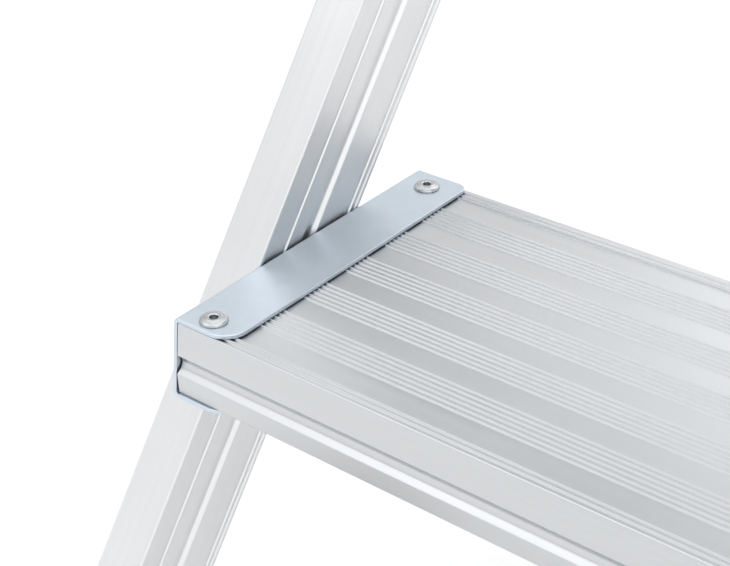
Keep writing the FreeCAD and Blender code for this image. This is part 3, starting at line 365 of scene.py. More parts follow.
@dataclass(frozen=True)
class MouldedRubber:
    """Matt black rubber, dusty and scuffed near the floor."""

    name: str
    tone: float = 0.022
    dust: float = 0.14
    dust_height: float = 30.0 * MM
    grain_scale: float = 2600.0
    patch_scale: float = 160.0
    scuff_scale: float = 900.0
    scuff_streak: float = 12.0
    depth: float = 0.05 * MM

    def make(self) -> bpy.types.Material:
        """Build the material."""
        bench = Bench(bpy.data.materials.new(self.name))
        place = bench.place()
        height = bench.along(place, Z_AXIS)
        near_floor = 1.0 - bench.stretch(height, low=0.0, high=self.dust_height)
        grain = bench.noise(place, self.grain_scale, roughness=0.6)
        patches = bench.stretch(bench.noise(place, self.patch_scale, detail=4.0, roughness=0.65), low=0.42, high=0.72)
        streaks = bench.noise(bench.drawn_out(Y_AXIS, self.scuff_streak), self.scuff_scale, roughness=0.6)
        scuffs = bench.stretch(streaks, low=0.58, high=0.72)
        dusty = patches * (near_floor * 0.5 + 0.12) + scuffs * near_floor * 0.35
        colour = bench.mix(dusty, grey(self.tone), (self.dust, self.dust * 0.95, self.dust * 0.86, 1.0))
        return bench.close(Base_Color=colour, Roughness=0.62 + dusty * 0.25,
                           Normal=bench.bump(grain + patches * 0.5, self.depth, strength=0.5))


@dataclass(frozen=True)
class MouldedPlastic:
    """Spark-eroded moulded plastic with a fine even grain."""

    name: str
    tone: tuple[float, float, float] = (0.028, 0.029, 0.032)
    roughness: float = 0.42
    grain_scale: float = 3200.0
    rubbed_scale: float = 90.0
    rubbed_tone: float = 1.7
    depth: float = 0.03 * MM

    def make(self) -> bpy.types.Material:
        """Build the material."""
        bench = Bench(bpy.data.materials.new(self.name))
        place = bench.place()
        grain = bench.noise(place, self.grain_scale)
        rubbed = bench.stretch(bench.noise(place, self.rubbed_scale, detail=4.0, roughness=0.6), low=0.45, high=0.8)
        light = tuple(channel * self.rubbed_tone for channel in self.tone) + (1.0,)
        colour = bench.mix(rubbed * 0.6 + grain * 0.2, self.tone + (1.0,), light)
        return bench.close(Base_Color=colour, Roughness=self.roughness + rubbed * 0.14,
                           Normal=bench.bump(grain, self.depth, strength=0.6))


@dataclass(frozen=True)
class StudioFloor:
    """Plain pale floor with a barely visible mottling."""

    name: str
    tone: float = 0.81
    mottle_scale: float = 1.5
    mottle_tone: float = 0.985
    roughness: float = 0.9

    def make(self) -> bpy.types.Material:
        """Build the material."""
        bench = Bench(bpy.data.materials.new(self.name))
        mottle = bench.noise(bench.place(), self.mottle_scale)
        colour = bench.mix(mottle, grey(self.tone), grey(self.tone * self.mottle_tone))
        return bench.close(Base_Color=colour, Roughness=self.roughness)


# ------------------------------ mesh work

SMOOTH_ANGLE = 50.0
FLAT_ANGLE = 0.4
FLAT_WEIGHT = 60
STRAIGHT = 0.99
RIB_ANGLE = 24.0
MOULD_ANGLE = 30.0
SHEET_EDGE = 0.3 * MM


def deselect() -> None:
    """Leave nothing selected or in edit mode."""
    if bpy.context.object and bpy.context.object.mode != "OBJECT":
        bpy.ops.object.mode_set(mode="OBJECT")
    bpy.ops.object.select_all(action="DESELECT")


def activate(piece: bpy.types.Object) -> None:
    """Make a piece the only selected and active one."""
    deselect()
    piece.select_set(True)
    bpy.context.view_layer.objects.active = piece


def edit_faces(piece: bpy.types.Object, wanted: Callable[[bpy.types.MeshPolygon], bool]) -> None:
    """Enter edit mode with only the wanted faces selected.

    Args:
        piece: The mesh to edit.
        wanted: Test on a polygon.
    """
    activate(piece)
    bpy.ops.object.mode_set(mode="EDIT")
    bpy.ops.mesh.select_mode(type="FACE")
    bpy.ops.mesh.select_all(action="DESELECT")
    bpy.ops.object.mode_set(mode="OBJECT")
    for polygon in piece.data.polygons:
        polygon.select = bool(wanted(polygon))
    bpy.ops.object.mode_set(mode="EDIT")


def leave_edit() -> None:
    """Back to object mode."""
    bpy.ops.object.mode_set(mode="OBJECT")


def apply_modifier(piece: bpy.types.Object, kind: str, **settings: object) -> None:
    """Add a modifier with its settings and apply it.

    Args:
        piece: The mesh.
        kind: Modifier type.
        settings: Its properties.
    """
    activate(piece)
    modifier = piece.modifiers.new(kind.lower(), kind)
    for key, value in settings.items():
        setattr(modifier, key, value)
    bpy.ops.object.modifier_apply(modifier=modifier.name)


def soften(piece: bpy.types.Object, width: float, segments: int = 3, angle: float = 28.0) -> None:
    """Round a piece's sharp edges and shade it so that its flats stay flat.

    Args:
        piece: The mesh.
        width: Width of the rounding, in metres.
        segments: Steps across it.
        angle: Edges sharper than this many degrees are rounded.
    """
    apply_modifier(piece, "BEVEL", width=width, segments=segments, limit_method="ANGLE",
                   angle_limit=math.radians(angle), use_clamp_overlap=False, loop_slide=False,
                   miter_outer="MITER_ARC")
    activate(piece)
    bpy.ops.object.shade_smooth_by_angle(angle=math.radians(SMOOTH_ANGLE))
    apply_modifier(piece, "WEIGHTED_NORMAL", weight=FLAT_WEIGHT, keep_sharp=True)


def join(pieces: list[bpy.types.Object], name: str) -> bpy.types.Object:
    """Join meshes into one named piece."""
    deselect()
    for piece in pieces:
        piece.select_set(True)
    bpy.context.view_layer.objects.active = pieces[0]
    if len(pieces) > 1:
        bpy.ops.object.join()
    pieces[0].name = name
    pieces[0].data.name = name
    return pieces[0]


def placed_copy(piece: bpy.types.Object, place: Matrix) -> bpy.types.Object:
    """Copy a modelled piece, with its own mesh, and move the mesh to its place."""
    copy = bpy.data.objects.new(piece.name + "_copy", piece.data.copy())
    bpy.context.scene.collection.objects.link(copy)
    copy.data.transform(place)
    return copy


def settle(piece: bpy.types.Object) -> None:
    """Put a piece's place into its mesh and its origin at the world's."""
    activate(piece)
    bpy.ops.object.transform_apply(location=True, rotation=True, scale=True)


def merge_copy(source: bpy.types.Object, name: str) -> bpy.types.Object:
    """Copy a CAD node's mesh, close its seams and merge its flat triangles.

    Args:
        source: The node's object.
        name: Name of the copy.

    Returns:
        The copy.
    """
    copy = placed_copy(source, Matrix.Identity(4))
    copy.name = name
    activate(copy)
    bpy.ops.object.mode_set(mode="EDIT")
    bpy.ops.mesh.select_mode(type="VERT")
    bpy.ops.mesh.select_all(action="SELECT")
    bpy.ops.mesh.remove_doubles(threshold=SEAM)
    bpy.ops.mesh.dissolve_limited(angle_limit=math.radians(FLAT_ANGLE))
    leave_edit()
    return copy


def basis(x_axis: Vector, y_axis: Vector, z_axis: Vector, origin: Vector) -> Matrix:
    """Matrix whose columns are three axes and an origin."""
    return Matrix(((x_axis.x, y_axis.x, z_axis.x, origin.x), (x_axis.y, y_axis.y, z_axis.y, origin.y),
                   (x_axis.z, y_axis.z, z_axis.z, origin.z), (0.0, 0.0, 0.0, 1.0)))


# ------------------------------ ladder geometry

@dataclass(frozen=True)
class LadderShape:
    """Angles of the stiles, in degrees."""

    front_lean: float = 29.0
    side_splay: float = 7.0
    fold_angle: float = 46.0

    def stile_axes(self, side: Side, rear: bool) -> Axes:
        """Unit vectors of a stile: rearwards across its depth, across its width and up along it.

        Args:
            side: The stile's side.
            rear: True for the hinged rear frame.

        Returns:
            The three vectors.
        """
        lean, splay = math.tan(math.radians(self.front_lean)), math.tan(math.radians(self.side_splay))
        along = Vector((side.value * splay, lean, 1.0)).normalized()
        across = Vector((-side.value, 0.0, splay)).normalized() * side.value
        turn = Matrix.Rotation(math.radians(self.fold_angle if rear else 0.0), 3, "X")
        return turn @ across.cross(along), turn @ across, turn @ along


# ------------------------------ dressing

class Dresser:
    """Adds finished pieces to the frame's bodies and keeps one material per finish."""

    def __init__(self, frame: dict) -> None:
        """Remember the frame's nodes, and the body and material slot of each.
        """
        self.nodes = frame["nodes"]
        self.body_of = {node: piece["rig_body"] for node, piece in self.nodes.items()}
        self.slot_of = {part["node"]: part["material_slot"] for part in frame["record"]["subparts"]}
        self.made: dict[object, bpy.types.Material] = {}

    def material(self, finish: object) -> bpy.types.Material:
        """The material of a finish, made once."""
        if finish not in self.made:
            self.made[finish] = finish.make()
        return self.made[finish]

    def paint(self, piece: bpy.types.Object, finish: object) -> None:
        """Give the whole piece one finish."""
        piece.data.materials.clear()
        piece.data.materials.append(self.material(finish))

    def mount(self, piece: bpy.types.Object, node: str, finish: object, stands_for: tuple[str, ...] = ()) -> None:
        """Finish a modelled piece and let it ride with a node's body.

        Args:
            piece: The modelled piece.
            node: The CAD node that it belongs to.
            finish: Its finish.
            stands_for: CAD nodes that it replaces.
        """
        self.paint(piece, finish)
        if stands_for:
            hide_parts(*stands_for)
        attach(piece, self.body_of[node])
        LOG.info("%s: %d faces on %s", piece.name, len(piece.data.polygons), self.body_of[node])

    def eased(self, node: str, finish: object, width: float, segments: int = 3, angle: float = 28.0) -> None:
        """Replace a CAD node by a copy with rounded edges.

        Args:
            node: CAD node.
            finish: Its finish.
            width: Width of the rounding, in metres.
            segments: Steps across it.
            angle: Edges sharper than this many degrees are rounded.
        """
        piece = merge_copy(self.nodes[node], node + "_eased")
        soften(piece, width, segments, angle)
        self.mount(piece, node, finish, (node,))


# ------------------------------ rivets

@dataclass
class BlindRivets:
    """Blind rivets: a domed head with a raised collar around the pulled mandrel, and a bulged tail.

    The outlines are (radius, height) points. Those of the tail are shares of the shank's radius, with the height
    from the grip's far side. Those of the rim and collar are shares of the head's radius and of the dome's
    height, and those of the pit shares of the mandrel's radius and of the dome's height.
    """

    head: float = 9.5 * MM
    dome: float = 1.5 * MM
    shank: float = 4.8 * MM
    mandrel: float = 2.9 * MM
    tail_length: float = 1.5
    tail: Points = ((0.8, -1.5), (1.0, -1.35), (1.3, -0.7), (1.3, -0.5), (1.0, 0.0))
    rim: Points = ((0.97, 0.0), (1.0, 0.06), (1.0, 0.24), (0.985, 0.34))
    crown_inner: float = 0.62
    crown_steps: int = 8
    crown_rise: float = 0.5
    collar: Points = ((0.59, 0.86), (0.555, 0.97), (0.52, 1.0), (0.44, 1.0))
    pit: Points = ((1.12, 0.96), (1.0, 0.86), (0.97, -0.5), (0.9, -0.6), (0.5, -0.56), (0.0, -0.4))
    pit_margin: float = 1.01
    steps: int = 40
    weld: float = 0.01 * MM
    smooth_angle: float = 40.0
    grip_step: float = 0.05 * MM
    outer_share: float = 0.95
    finish: BrightPlate = BrightPlate("rivet_plate", tone=0.50, tint=0.03, roughness=0.2)
    # Near-black matt finish on the mandrel pit: painted shade in the hole, not the colour of the steel mandrel.
    mandrel_finish: MouldedPlastic = MouldedPlastic("mandrel_break", (0.004, 0.004, 0.005), 0.85)

    def profile(self, grip: float) -> list[tuple[float, float]]:
        """Half section as (radius, height) points, from the tail's axis to the mandrel pit.

        Args:
            grip: Thickness that the rivet holds.

        Returns:
            The points, in metres.
        """
        head, dome, shank, hole = self.head / 2, self.dome, self.shank / 2, self.mandrel / 2
        edge_radius, edge_height = self.rim[-1]
        points = [(0.0, -grip - self.tail_length * shank)]
        points += [(shank * radius, -grip + shank * height) for radius, height in self.tail]
        points.append((shank, 0.0))
        points += [(head * radius, dome * height) for radius, height in self.rim]
        for step in range(1, self.crown_steps):
            turn = step / self.crown_steps * math.pi / 2
            points.append((head * (self.crown_inner + (edge_radius - self.crown_inner) * math.cos(turn)),
                           dome * (edge_height + self.crown_rise * math.sin(turn))))
        points += [(head * radius, dome * height) for radius, height in self.collar]
        points += [(hole * radius, dome * height) for radius, height in self.pit]
        return points

    def model(self, grip: float) -> bpy.types.Object:
        """Spin one rivet with its head's seat at the origin and its head towards +Z.

        Args:
            grip: Thickness that the rivet holds.

        Returns:
            The rivet.
        """
        points = self.profile(grip)
        mesh = bpy.data.meshes.new("blind_rivet")
        mesh.from_pydata([(radius, 0.0, height) for radius, height in points],
                         [(index, index + 1) for index in range(len(points) - 1)], [])
        rivet = bpy.data.objects.new("blind_rivet", mesh)
        bpy.context.scene.collection.objects.link(rivet)
        activate(rivet)
        bpy.ops.object.mode_set(mode="EDIT")
        bpy.ops.mesh.select_all(action="SELECT")
        bpy.ops.mesh.spin(steps=self.steps, angle=2.0 * math.pi, center=(0, 0, 0), axis=(0, 0, 1))
        bpy.ops.mesh.select_all(action="SELECT")
        bpy.ops.mesh.remove_doubles(threshold=self.weld)
        bpy.ops.mesh.normals_make_consistent(inside=False)
        leave_edit()
        # The pit's walls and floor take the second, near-black material: painted shade in the mandrel hole.
        reach = self.mandrel / 2 * self.pit_margin
        for polygon in mesh.polygons:
            centre = polygon.center
            if math.hypot(centre.x, centre.y) < reach and centre.z > -self.dome:
                polygon.material_index = 1
        bpy.ops.object.shade_smooth_by_angle(angle=math.radians(self.smooth_angle))
        return rivet

    def seats(self, source: bpy.types.Object) -> list[tuple[Matrix, float]]:
        """Find each rivet of a CAD node: its seat with +Z out of the head, and its grip.

        Args:
            source: The CAD node's object.

        Returns:
            One (placement, grip) per rivet.
        """
        work = bmesh.new()
        work.from_mesh(source.data)
        bmesh.ops.remove_doubles(work, verts=work.verts, dist=SEAM)
        found = []
        left = set(work.verts)
        for start in work.verts:
            if start not in left:
                continue
            left.remove(start)
            island, queue = [], [start]
            while queue:
                vertex = queue.pop()
                island.append(vertex.co.copy())
                for edge in vertex.link_edges:
                    other = edge.other_vert(vertex)
                    if other in left:
                        left.remove(other)
                        queue.append(other)
            found.append(self._seat(np.array(island, float)))
        work.free()
        return found

    def _seat(self, points: np.ndarray) -> tuple[Matrix, float]:
        """Placement and grip of one rivet from its surface points."""
        centre = points.mean(0)
        spread, vectors = np.linalg.eigh(np.cov((points - centre).T))
        odd = 0 if spread[1] - spread[0] > spread[2] - spread[1] else 2
        axis = vectors[:, odd]
        height = (points - centre) @ axis
        reach = np.linalg.norm(points - centre - np.outer(height, axis), axis=1)
        if height[reach > self.outer_share * self.head / 2].mean() < 0:
            axis, height = -axis, -height
        top = height.max()
        seat = centre + axis * (top - self.dome)
        grip = (top - self.dome) - height.min() - self.tail_length * self.shank / 2
        z_axis = Vector(axis)
        x_axis = z_axis.orthogonal().normalized()
        return basis(x_axis, z_axis.cross(x_axis), z_axis, Vector(seat)), float(grip)

    def dress(self, dresser: Dresser, node: str) -> None:
        """Replace the rivets of one CAD node by spun ones.

        Args:
            dresser: Where the pieces go.
            node: The CAD node.
        """
        copies = []
        patterns: dict[int, bpy.types.Object] = {}
        for place, grip in self.seats(dresser.nodes[node]):
            key = round(grip / self.grip_step)
            if key not in patterns:
                patterns[key] = self.model(grip)
            copies.append(placed_copy(patterns[key], place))
        for pattern in patterns.values():
            bpy.data.objects.remove(pattern)
        piece = join(copies, node + "_spun")
        indices = [polygon.material_index for polygon in piece.data.polygons]
        dresser.mount(piece, node, self.finish, (node,))
        # Second slot: the near-black painted shade inside each mandrel pit.
        piece.data.materials.append(dresser.material(self.mandrel_finish))
        piece.data.polygons.foreach_set("material_index", indices)


# ------------------------------ moulded pieces

def block(name: str, size: Vector) -> bpy.types.Object:
    """Add a block with one corner at the origin, in local coordinates.

    Args:
        name: Name of the piece.
        size: Its three sides.

    Returns:
        The block.
    """
    deselect()
    bpy.ops.mesh.primitive_cube_add(size=1.0, location=size / 2)
    piece = bpy.context.object
    piece.name = name
    piece.scale = size
    settle(piece)
    return piece


def is_wall(polygon: bpy.types.MeshPolygon) -> bool:
    """Whether a face of a block looks sideways."""
    return abs(polygon.normal.z) < 0.5


def round_uprights(piece: bpy.types.Object, radius: float, segments: int = 4) -> None:
    """Round the edges of a block that run along its local Z.

    Args:
        piece: The block.
        radius: Radius, in metres.
        segments: Steps of the rounding.
    """
    activate(piece)
    bpy.ops.object.mode_set(mode="EDIT")
    bpy.ops.mesh.select_mode(type="EDGE")
    bpy.ops.mesh.select_all(action="DESELECT")
    leave_edit()
    vertices = piece.data.vertices
    for edge in piece.data.edges:
        run = vertices[edge.vertices[0]].co - vertices[edge.vertices[1]].co
        edge.select = abs(run.z) > STRAIGHT * run.length
    bpy.ops.object.mode_set(mode="EDIT")
    bpy.ops.mesh.bevel(offset=radius, segments=segments, affect="EDGES")
    leave_edit()


def slice_at(piece: bpy.types.Object, point: Vector, normal: Vector, clear: bool = False) -> None:
    """Cut a piece's mesh along a plane.

    Args:
        piece: The mesh, in its own coordinates.
        point: A point of the plane.
        normal: Its normal.
        clear: Drop and close what lies on the normal's side.
    """
    activate(piece)
    bpy.ops.object.mode_set(mode="EDIT")
    bpy.ops.mesh.select_all(action="SELECT")
    bpy.ops.mesh.bisect(plane_co=point, plane_no=normal, use_fill=clear, clear_outer=clear)
    leave_edit()


def sink(piece: bpy.types.Object, wanted: Callable[[bpy.types.MeshPolygon], bool], depth: float) -> None:
    """Push a region of faces into the surface, as a groove; a negative depth raises it.

    Args:
        piece: The mesh.
        wanted: Test on a polygon.
        depth: Depth, in metres.
    """
    edit_faces(piece, wanted)
    bpy.ops.mesh.extrude_region_shrink_fatten(TRANSFORM_OT_shrink_fatten={"value": -depth})
    leave_edit()


def panel(piece: bpy.types.Object, border: float, depth: float) -> None:
    """Inset a piece's top face and push it in or out.

    Args:
        piece: The mesh, in local coordinates.
        border: Width of the frame that stays.
        depth: Positive pushes in.
    """
    polygons = piece.data.polygons
    level = max(vertex.co.z for vertex in piece.data.vertices) - 0.01 * MM
    tops = [polygon.index for polygon in polygons if polygon.normal.z > STRAIGHT and polygon.center.z > level]
    largest = max(tops, key=lambda index: polygons[index].area)
    edit_faces(piece, lambda polygon: polygon.index == largest)
    bpy.ops.mesh.inset(thickness=border, depth=0.0)
    bpy.ops.mesh.extrude_region_move(TRANSFORM_OT_translate={"value": (0.0, 0.0, -depth)})
    leave_edit()


@dataclass
class MouldedShoe:
    """Rubber shoe: rounded corners, a collar around the stile, side grooves and a notched sole."""

    corner: float = 3.2 * MM
    collar: float = 6.0 * MM
    groove: float = 1.7 * MM
    groove_pitch: float = 6.4 * MM
    groove_depth: float = 0.9 * MM
    grooves: int = 4
    sole: float = 5.0 * MM
    notch: float = 2.2 * MM
    notch_pitch: float = 7.0 * MM
    notch_height: float = 1.8 * MM
    notch_overcut: Vector = field(default_factory=lambda: Vector((5.0 * MM, 0.0, 1.0 * MM)))
    socket_border: float = 3.8 * MM
    socket_depth: float = 9.0 * MM
    edge: float = 0.35 * MM
    finish: MouldedRubber = MouldedRubber("shoe_rubber")

    def dress(self, dresser: Dresser, node: str, axes: Axes) -> None:
        """Model one shoe in its stile's own axes and replace the CAD one.

        Args:
            dresser: Where the piece goes.
            node: CAD node of the shoe.
            axes: The stile's axes.
        """
        place, size = oriented_box(dresser.nodes[node], axes)
        shoe = block(node + "_moulded", size)
        round_uprights(shoe, self.corner)
        tops = [size.z - self.collar - index * self.groove_pitch for index in range(self.grooves)]
        for top in tops:
            for level in (top, top - self.groove):
                slice_at(shoe, Vector((0, 0, level)), Z_AXIS)
        to_local = place.inverted()
        floor_normal = (to_local.to_3x3() @ Z_AXIS).normalized()
        slice_at(shoe, to_local @ Vector((0, 0, 0)), -floor_normal, clear=True)
        for level in (self.sole, self.sole + self.groove):
            slice_at(shoe, to_local @ Vector((0, 0, level)), floor_normal)
        for top in tops:
            sink(shoe, lambda polygon: top - self.groove < polygon.center.z < top and is_wall(polygon)
                 and (place @ polygon.center).z > self.sole + 2 * self.groove, self.groove_depth)
        sink(shoe, lambda polygon: self.sole < (place @ polygon.center).z < self.sole + self.groove
             and is_wall(polygon), self.groove_depth)
        panel(shoe, self.socket_border, self.socket_depth)
        shoe.data.transform(place)
        self._notch_sole(shoe)
        soften(shoe, self.edge, 2, MOULD_ANGLE)
        dresser.mount(shoe, node, self.finish, (node,))

    def _notch_sole(self, shoe: bpy.types.Object) -> None:
        """Cut grip notches across the sole."""
        low, high = mesh_box(shoe)
        over = self.notch_overcut
        size = Vector((high.x - low.x + 2 * over.x, self.notch, self.notch_height + over.z))
        cutters = []
        position = low.y + self.notch_pitch / 2
        while position < high.y:
            cutter = block("notch", size)
            cutter.data.transform(Matrix.Translation((low.x - over.x, position, -over.z)))
            cutters.append(cutter)
            position += self.notch_pitch
        cutter = join(cutters, "notches")
        apply_modifier(shoe, "BOOLEAN", operation="DIFFERENCE", object=cutter, solver="EXACT")
        bpy.data.objects.remove(cutter)


@dataclass
class EndCap:
    """Moulded cap on a stile's upper end, with a stepped lid."""

    height: float = 4.0 * MM
    corner: float = 2.0 * MM
    step_foot: float = 1.4 * MM
    step_top: float = 2.0 * MM
    step_depth: float = 0.35 * MM
    dish_border: float = 2.0 * MM
    dish_depth: float = 0.5 * MM
    boss_border: float = 1.0 * MM
    boss_rise: float = 0.8 * MM
    edge: float = 0.4 * MM
    finish: MouldedPlastic = MouldedPlastic("cap_plastic_grain")

    def dress(self, dresser: Dresser, node: str, axes: Axes) -> None:
        """Model one cap in its stile's own axes and replace the CAD one.

        Args:
            dresser: Where the piece goes.
            node: CAD node of the cap.
            axes: The stile's axes.
        """
        place, size = oriented_box(dresser.nodes[node], axes)
        cap = block(node + "_moulded", Vector((size.x, size.y, self.height)))
        round_uprights(cap, self.corner)
        for level in (self.step_foot, self.step_top):
            slice_at(cap, Vector((0, 0, level)), Z_AXIS)
        sink(cap, lambda polygon: self.step_foot < polygon.center.z < self.step_top and is_wall(polygon),
             self.step_depth)
        panel(cap, self.dish_border, self.dish_depth)
        panel(cap, self.boss_border, -self.boss_rise)
        cap.data.transform(place @ Matrix.Translation((0.0, 0.0, size.z - self.height)))
        soften(cap, self.edge, angle=MOULD_ANGLE)
        dresser.mount(cap, node, self.finish, (node,))


@dataclass
class TubePlug:
    """Moulded plug in the open end of a cross member. Its borders are shares of the radius or the depth."""

    lid: float = 2.2 * MM
    corner: float = 1.6 * MM
    round_border: float = 0.35
    flat_border: float = 0.22
    dish_depth: float = 0.7 * MM
    edge: float = 0.45 * MM
    facets: int = 56
    finish: MouldedPlastic = MouldedPlastic("plug_plastic_grain")

    def close_round(self, dresser: Dresser, node: str, radius: float, side: Side) -> None:
        """Plug one end of a round tube that runs along X.

        Args:
            dresser: Where the piece goes.
            node: CAD node of the tube.
            radius: Outer radius of the tube.
            side: Which end.
        """
        middle, out = self._end(node, side)
        place = basis(Y_AXIS, Z_AXIS * -side.value, out, middle)
        deselect()
        bpy.ops.mesh.primitive_cylinder_add(vertices=self.facets, radius=radius, depth=self.lid,
                                            location=(0, 0, self.lid / 2))
        plug = bpy.context.object
        settle(plug)
        self._finish(dresser, plug, node, side, place, radius * self.round_border)

    def close_flat(self, dresser: Dresser, node: str, section: tuple[float, float], normal: Vector,
                   side: Side) -> None:
        """Plug one end of a rectangular tube that runs along X.

        Args:
            dresser: Where the piece goes.
            node: CAD node of the tube.
            section: Its size along the normal and across it.
            normal: Direction that the tube's broad face looks in.
            side: Which end.
        """
        depth, height = section
        middle, out = self._end(node, side)
        across = out.cross(normal)
        place = basis(normal, across, out, middle - normal * (depth / 2) - across * (height / 2))
        plug = block(node + "_plug", Vector((depth, height, self.lid)))
        round_uprights(plug, self.corner)
        self._finish(dresser, plug, node, side, place, depth * self.flat_border)

    @staticmethod
    def _end(node: str, side: Side) -> tuple[Vector, Vector]:
        """Middle of a cross member's end, and the direction out of it."""
        low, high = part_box(node)
        x = low.x if side is Side.LEFT else high.x
        return Vector((x, (low.y + high.y) / 2, (low.z + high.z) / 2)), X_AXIS * -side.value

    def _finish(self, dresser: Dresser, plug: bpy.types.Object, node: str, side: Side, place: Matrix,
                border: float) -> None:
        """Dish the lid, put the plug in place and mount it."""
        panel(plug, border, self.dish_depth)
        plug.data.transform(place)
        soften(plug, self.edge, angle=MOULD_ANGLE)
        plug.name = f"{node}_{side.label}_plug"
        dresser.mount(plug, node, self.finish)


def mesh_box(piece: bpy.types.Object) -> tuple[Vector, Vector]:
    """Lowest and highest corner of a mesh."""
    points = np.array([vertex.co for vertex in piece.data.vertices], float)
    return Vector(points.min(0)), Vector(points.max(0))


def oriented_box(piece: bpy.types.Object, axes: Axes) -> tuple[Matrix, Vector]:
    """Box around a mesh in its own axes.

    Args:
        piece: The mesh.
        axes: Three unit vectors.

    Returns:
        Placement of the box's low corner, and its size.
    """
    turn = np.array(axes, float)
    points = np.array([vertex.co for vertex in piece.data.vertices], float) @ turn.T
    low, high = points.min(0), points.max(0)
    return basis(*axes, Vector(low @ turn)), Vector(high - low)


# ------------------------------ sub-assemblies

def ribbed_metal(name: str) -> DrawnAluminium:
    """Finish of the ribbed extrusions, which have only faint die lines."""
    return DrawnAluminium(name, CROSSWISE, tone=0.575, tint=0.022, die_depth=0.007 * MM)


@dataclass
class Stiles:
    """The four extruded stiles with their shoes and caps."""

    shape: LadderShape = field(default_factory=LadderShape)
    shoe: MouldedShoe = field(default_factory=MouldedShoe)
    cap: EndCap = field(default_factory=EndCap)
    edge: float = 0.35 * MM
    tone: float = 0.73
    roughness: float = 0.38

    def build(self, dresser: Dresser) -> None:
        """Dress all four."""
        for side in Side:
            for kind, rear in (("front", False), ("rear", True)):
                corner = f"{side.label}_{kind}"
                axes = self.shape.stile_axes(side, rear)
                metal = DrawnAluminium(f"{corner}_stile_metal", tuple(axes[2]), tone=self.tone,
                                       roughness=self.roughness)
                dresser.eased(f"{corner}_stile", metal, self.edge)
                self.shoe.dress(dresser, f"{corner}_foot", axes)
                self.cap.dress(dresser, f"{corner}_cap", axes)


@dataclass
class Treads:
    """Ribbed treads in folded brackets, held by blind rivets."""

    names: tuple[str, ...] = ("lower_tread", "middle_tread", "upper_tread")
    rib_edge: float = 0.12 * MM
    metal: DrawnAluminium = ribbed_metal("tread_metal")
    sheet: ZincSheet = ZincSheet("bracket_zinc")
    rivets: BlindRivets = field(default_factory=BlindRivets)

    def build(self, dresser: Dresser) -> None:
        """Dress the three treads."""
        for tread in self.names:
            dresser.eased(tread, self.metal, self.rib_edge, angle=RIB_ANGLE)
            for side in Side:
                dresser.eased(f"{tread}_{side.label}_bracket", self.sheet, SHEET_EDGE)
            self.rivets.dress(dresser, f"{tread}_rivets")
            self.rivets.dress(dresser, f"{tread}_stile_rivets")


@dataclass
class Platform:
    """The folding platform with its side brackets and hooks."""

    rib_edge: float = 0.16 * MM
    metal: DrawnAluminium = ribbed_metal("platform_metal")
    sheet: ZincSheet = ZincSheet("platform_zinc")
    rivets: BlindRivets = field(default_factory=BlindRivets)

    def build(self, dresser: Dresser) -> None:
        """Dress the platform."""
        dresser.eased("platform_deck", self.metal, self.rib_edge, 2, RIB_ANGLE)
        for node in ("platform_left_bracket", "platform_right_bracket", "platform_hooks"):
            dresser.eased(node, self.sheet, SHEET_EDGE)
        self.rivets.dress(dresser, "platform_rivets")
        self.rivets.dress(dresser, "platform_hook_rivets")


@dataclass
class CrossMembers:
    """Top rail, support tube and rear braces with plugged ends."""

    shape: LadderShape = field(default_factory=LadderShape)
    braces: tuple[str, ...] = ("upper_rear_brace", "lower_rear_brace")
    tube: DrawnAluminium = DrawnAluminium("tube_metal", CROSSWISE, tone=0.66, roughness=0.28, die_scale=1400.0)
    brace: DrawnAluminium = DrawnAluminium("brace_metal", CROSSWISE, tone=0.66, roughness=0.36)
    sheet: ZincSheet = ZincSheet("cleat_zinc")
    tube_radius: float = 11.0 * MM
    tube_edge: float = 0.25 * MM
    tube_angle: float = 40.0
    brace_edge: float = 0.3 * MM
    brace_section: tuple[float, float] = (12.0 * MM, 36.0 * MM)
    plug: TubePlug = field(default_factory=TubePlug)
    rivets: BlindRivets = field(default_factory=BlindRivets)

    def build(self, dresser: Dresser) -> None:
        """Dress the cross members."""
        angle = math.radians(self.shape.fold_angle - self.shape.front_lean)
        normal = Vector((0.0, math.cos(angle), math.sin(angle)))
        for node in ("top_rail", "platform_support_tube"):
            dresser.eased(node, self.tube, self.tube_edge, 2, self.tube_angle)
        for side in Side:
            self.plug.close_round(dresser, "platform_support_tube", self.tube_radius, side)
            for node in self.braces:
                self.plug.close_flat(dresser, node, self.brace_section, normal, side)
        for node in self.braces:
            dresser.eased(node, self.brace, self.brace_edge, 2)
        dresser.eased("support_tube_cleats", self.sheet, SHEET_EDGE)
        self.rivets.dress(dresser, "brace_rivets")


@dataclass
class Fasteners:
    """Bolts, nuts, spacers and plugs of the joints."""

    steel: BrightPlate = BrightPlate("bolt_plate", tone=0.68, roughness=0.24)
    nylon: MouldedPlastic = MouldedPlastic("natural_nylon", (0.62, 0.61, 0.56), 0.46)
    edge: float = 0.35 * MM

    def build(self, dresser: Dresser) -> None:
        """Dress the fasteners."""
        for node in ("hinge_bolts", "hinge_nuts", "platform_pivot_bolts", "platform_pivot_nuts", "top_rail_bolts"):
            dresser.eased(node, self.steel, self.edge)
        for node in ("hinge_spacers", "platform_pivot_spacers", "top_rail_plugs"):
            dresser.eased(node, self.nylon, self.edge)


# ------------------------------ studio

@dataclass(frozen=True)
class Softbox:
    """Square area light: its place and side in metres, and its power in watts."""

    name: str
    place: tuple[float, float, float]
    side: float
    power: float

    def hang(self, lit: Vector) -> None:
        """Add the light, turned towards a point."""
        light = bpy.data.lights.new(self.name, "AREA")
        light.shape = "SQUARE"
        light.size = self.side
        light.energy = self.power
        lamp = bpy.data.objects.new(self.name, light)
        bpy.context.scene.collection.objects.link(lamp)
        lamp.location = self.place
        lamp.rotation_euler = (lit - Vector(self.place)).to_track_quat("-Z", "Y").to_euler()


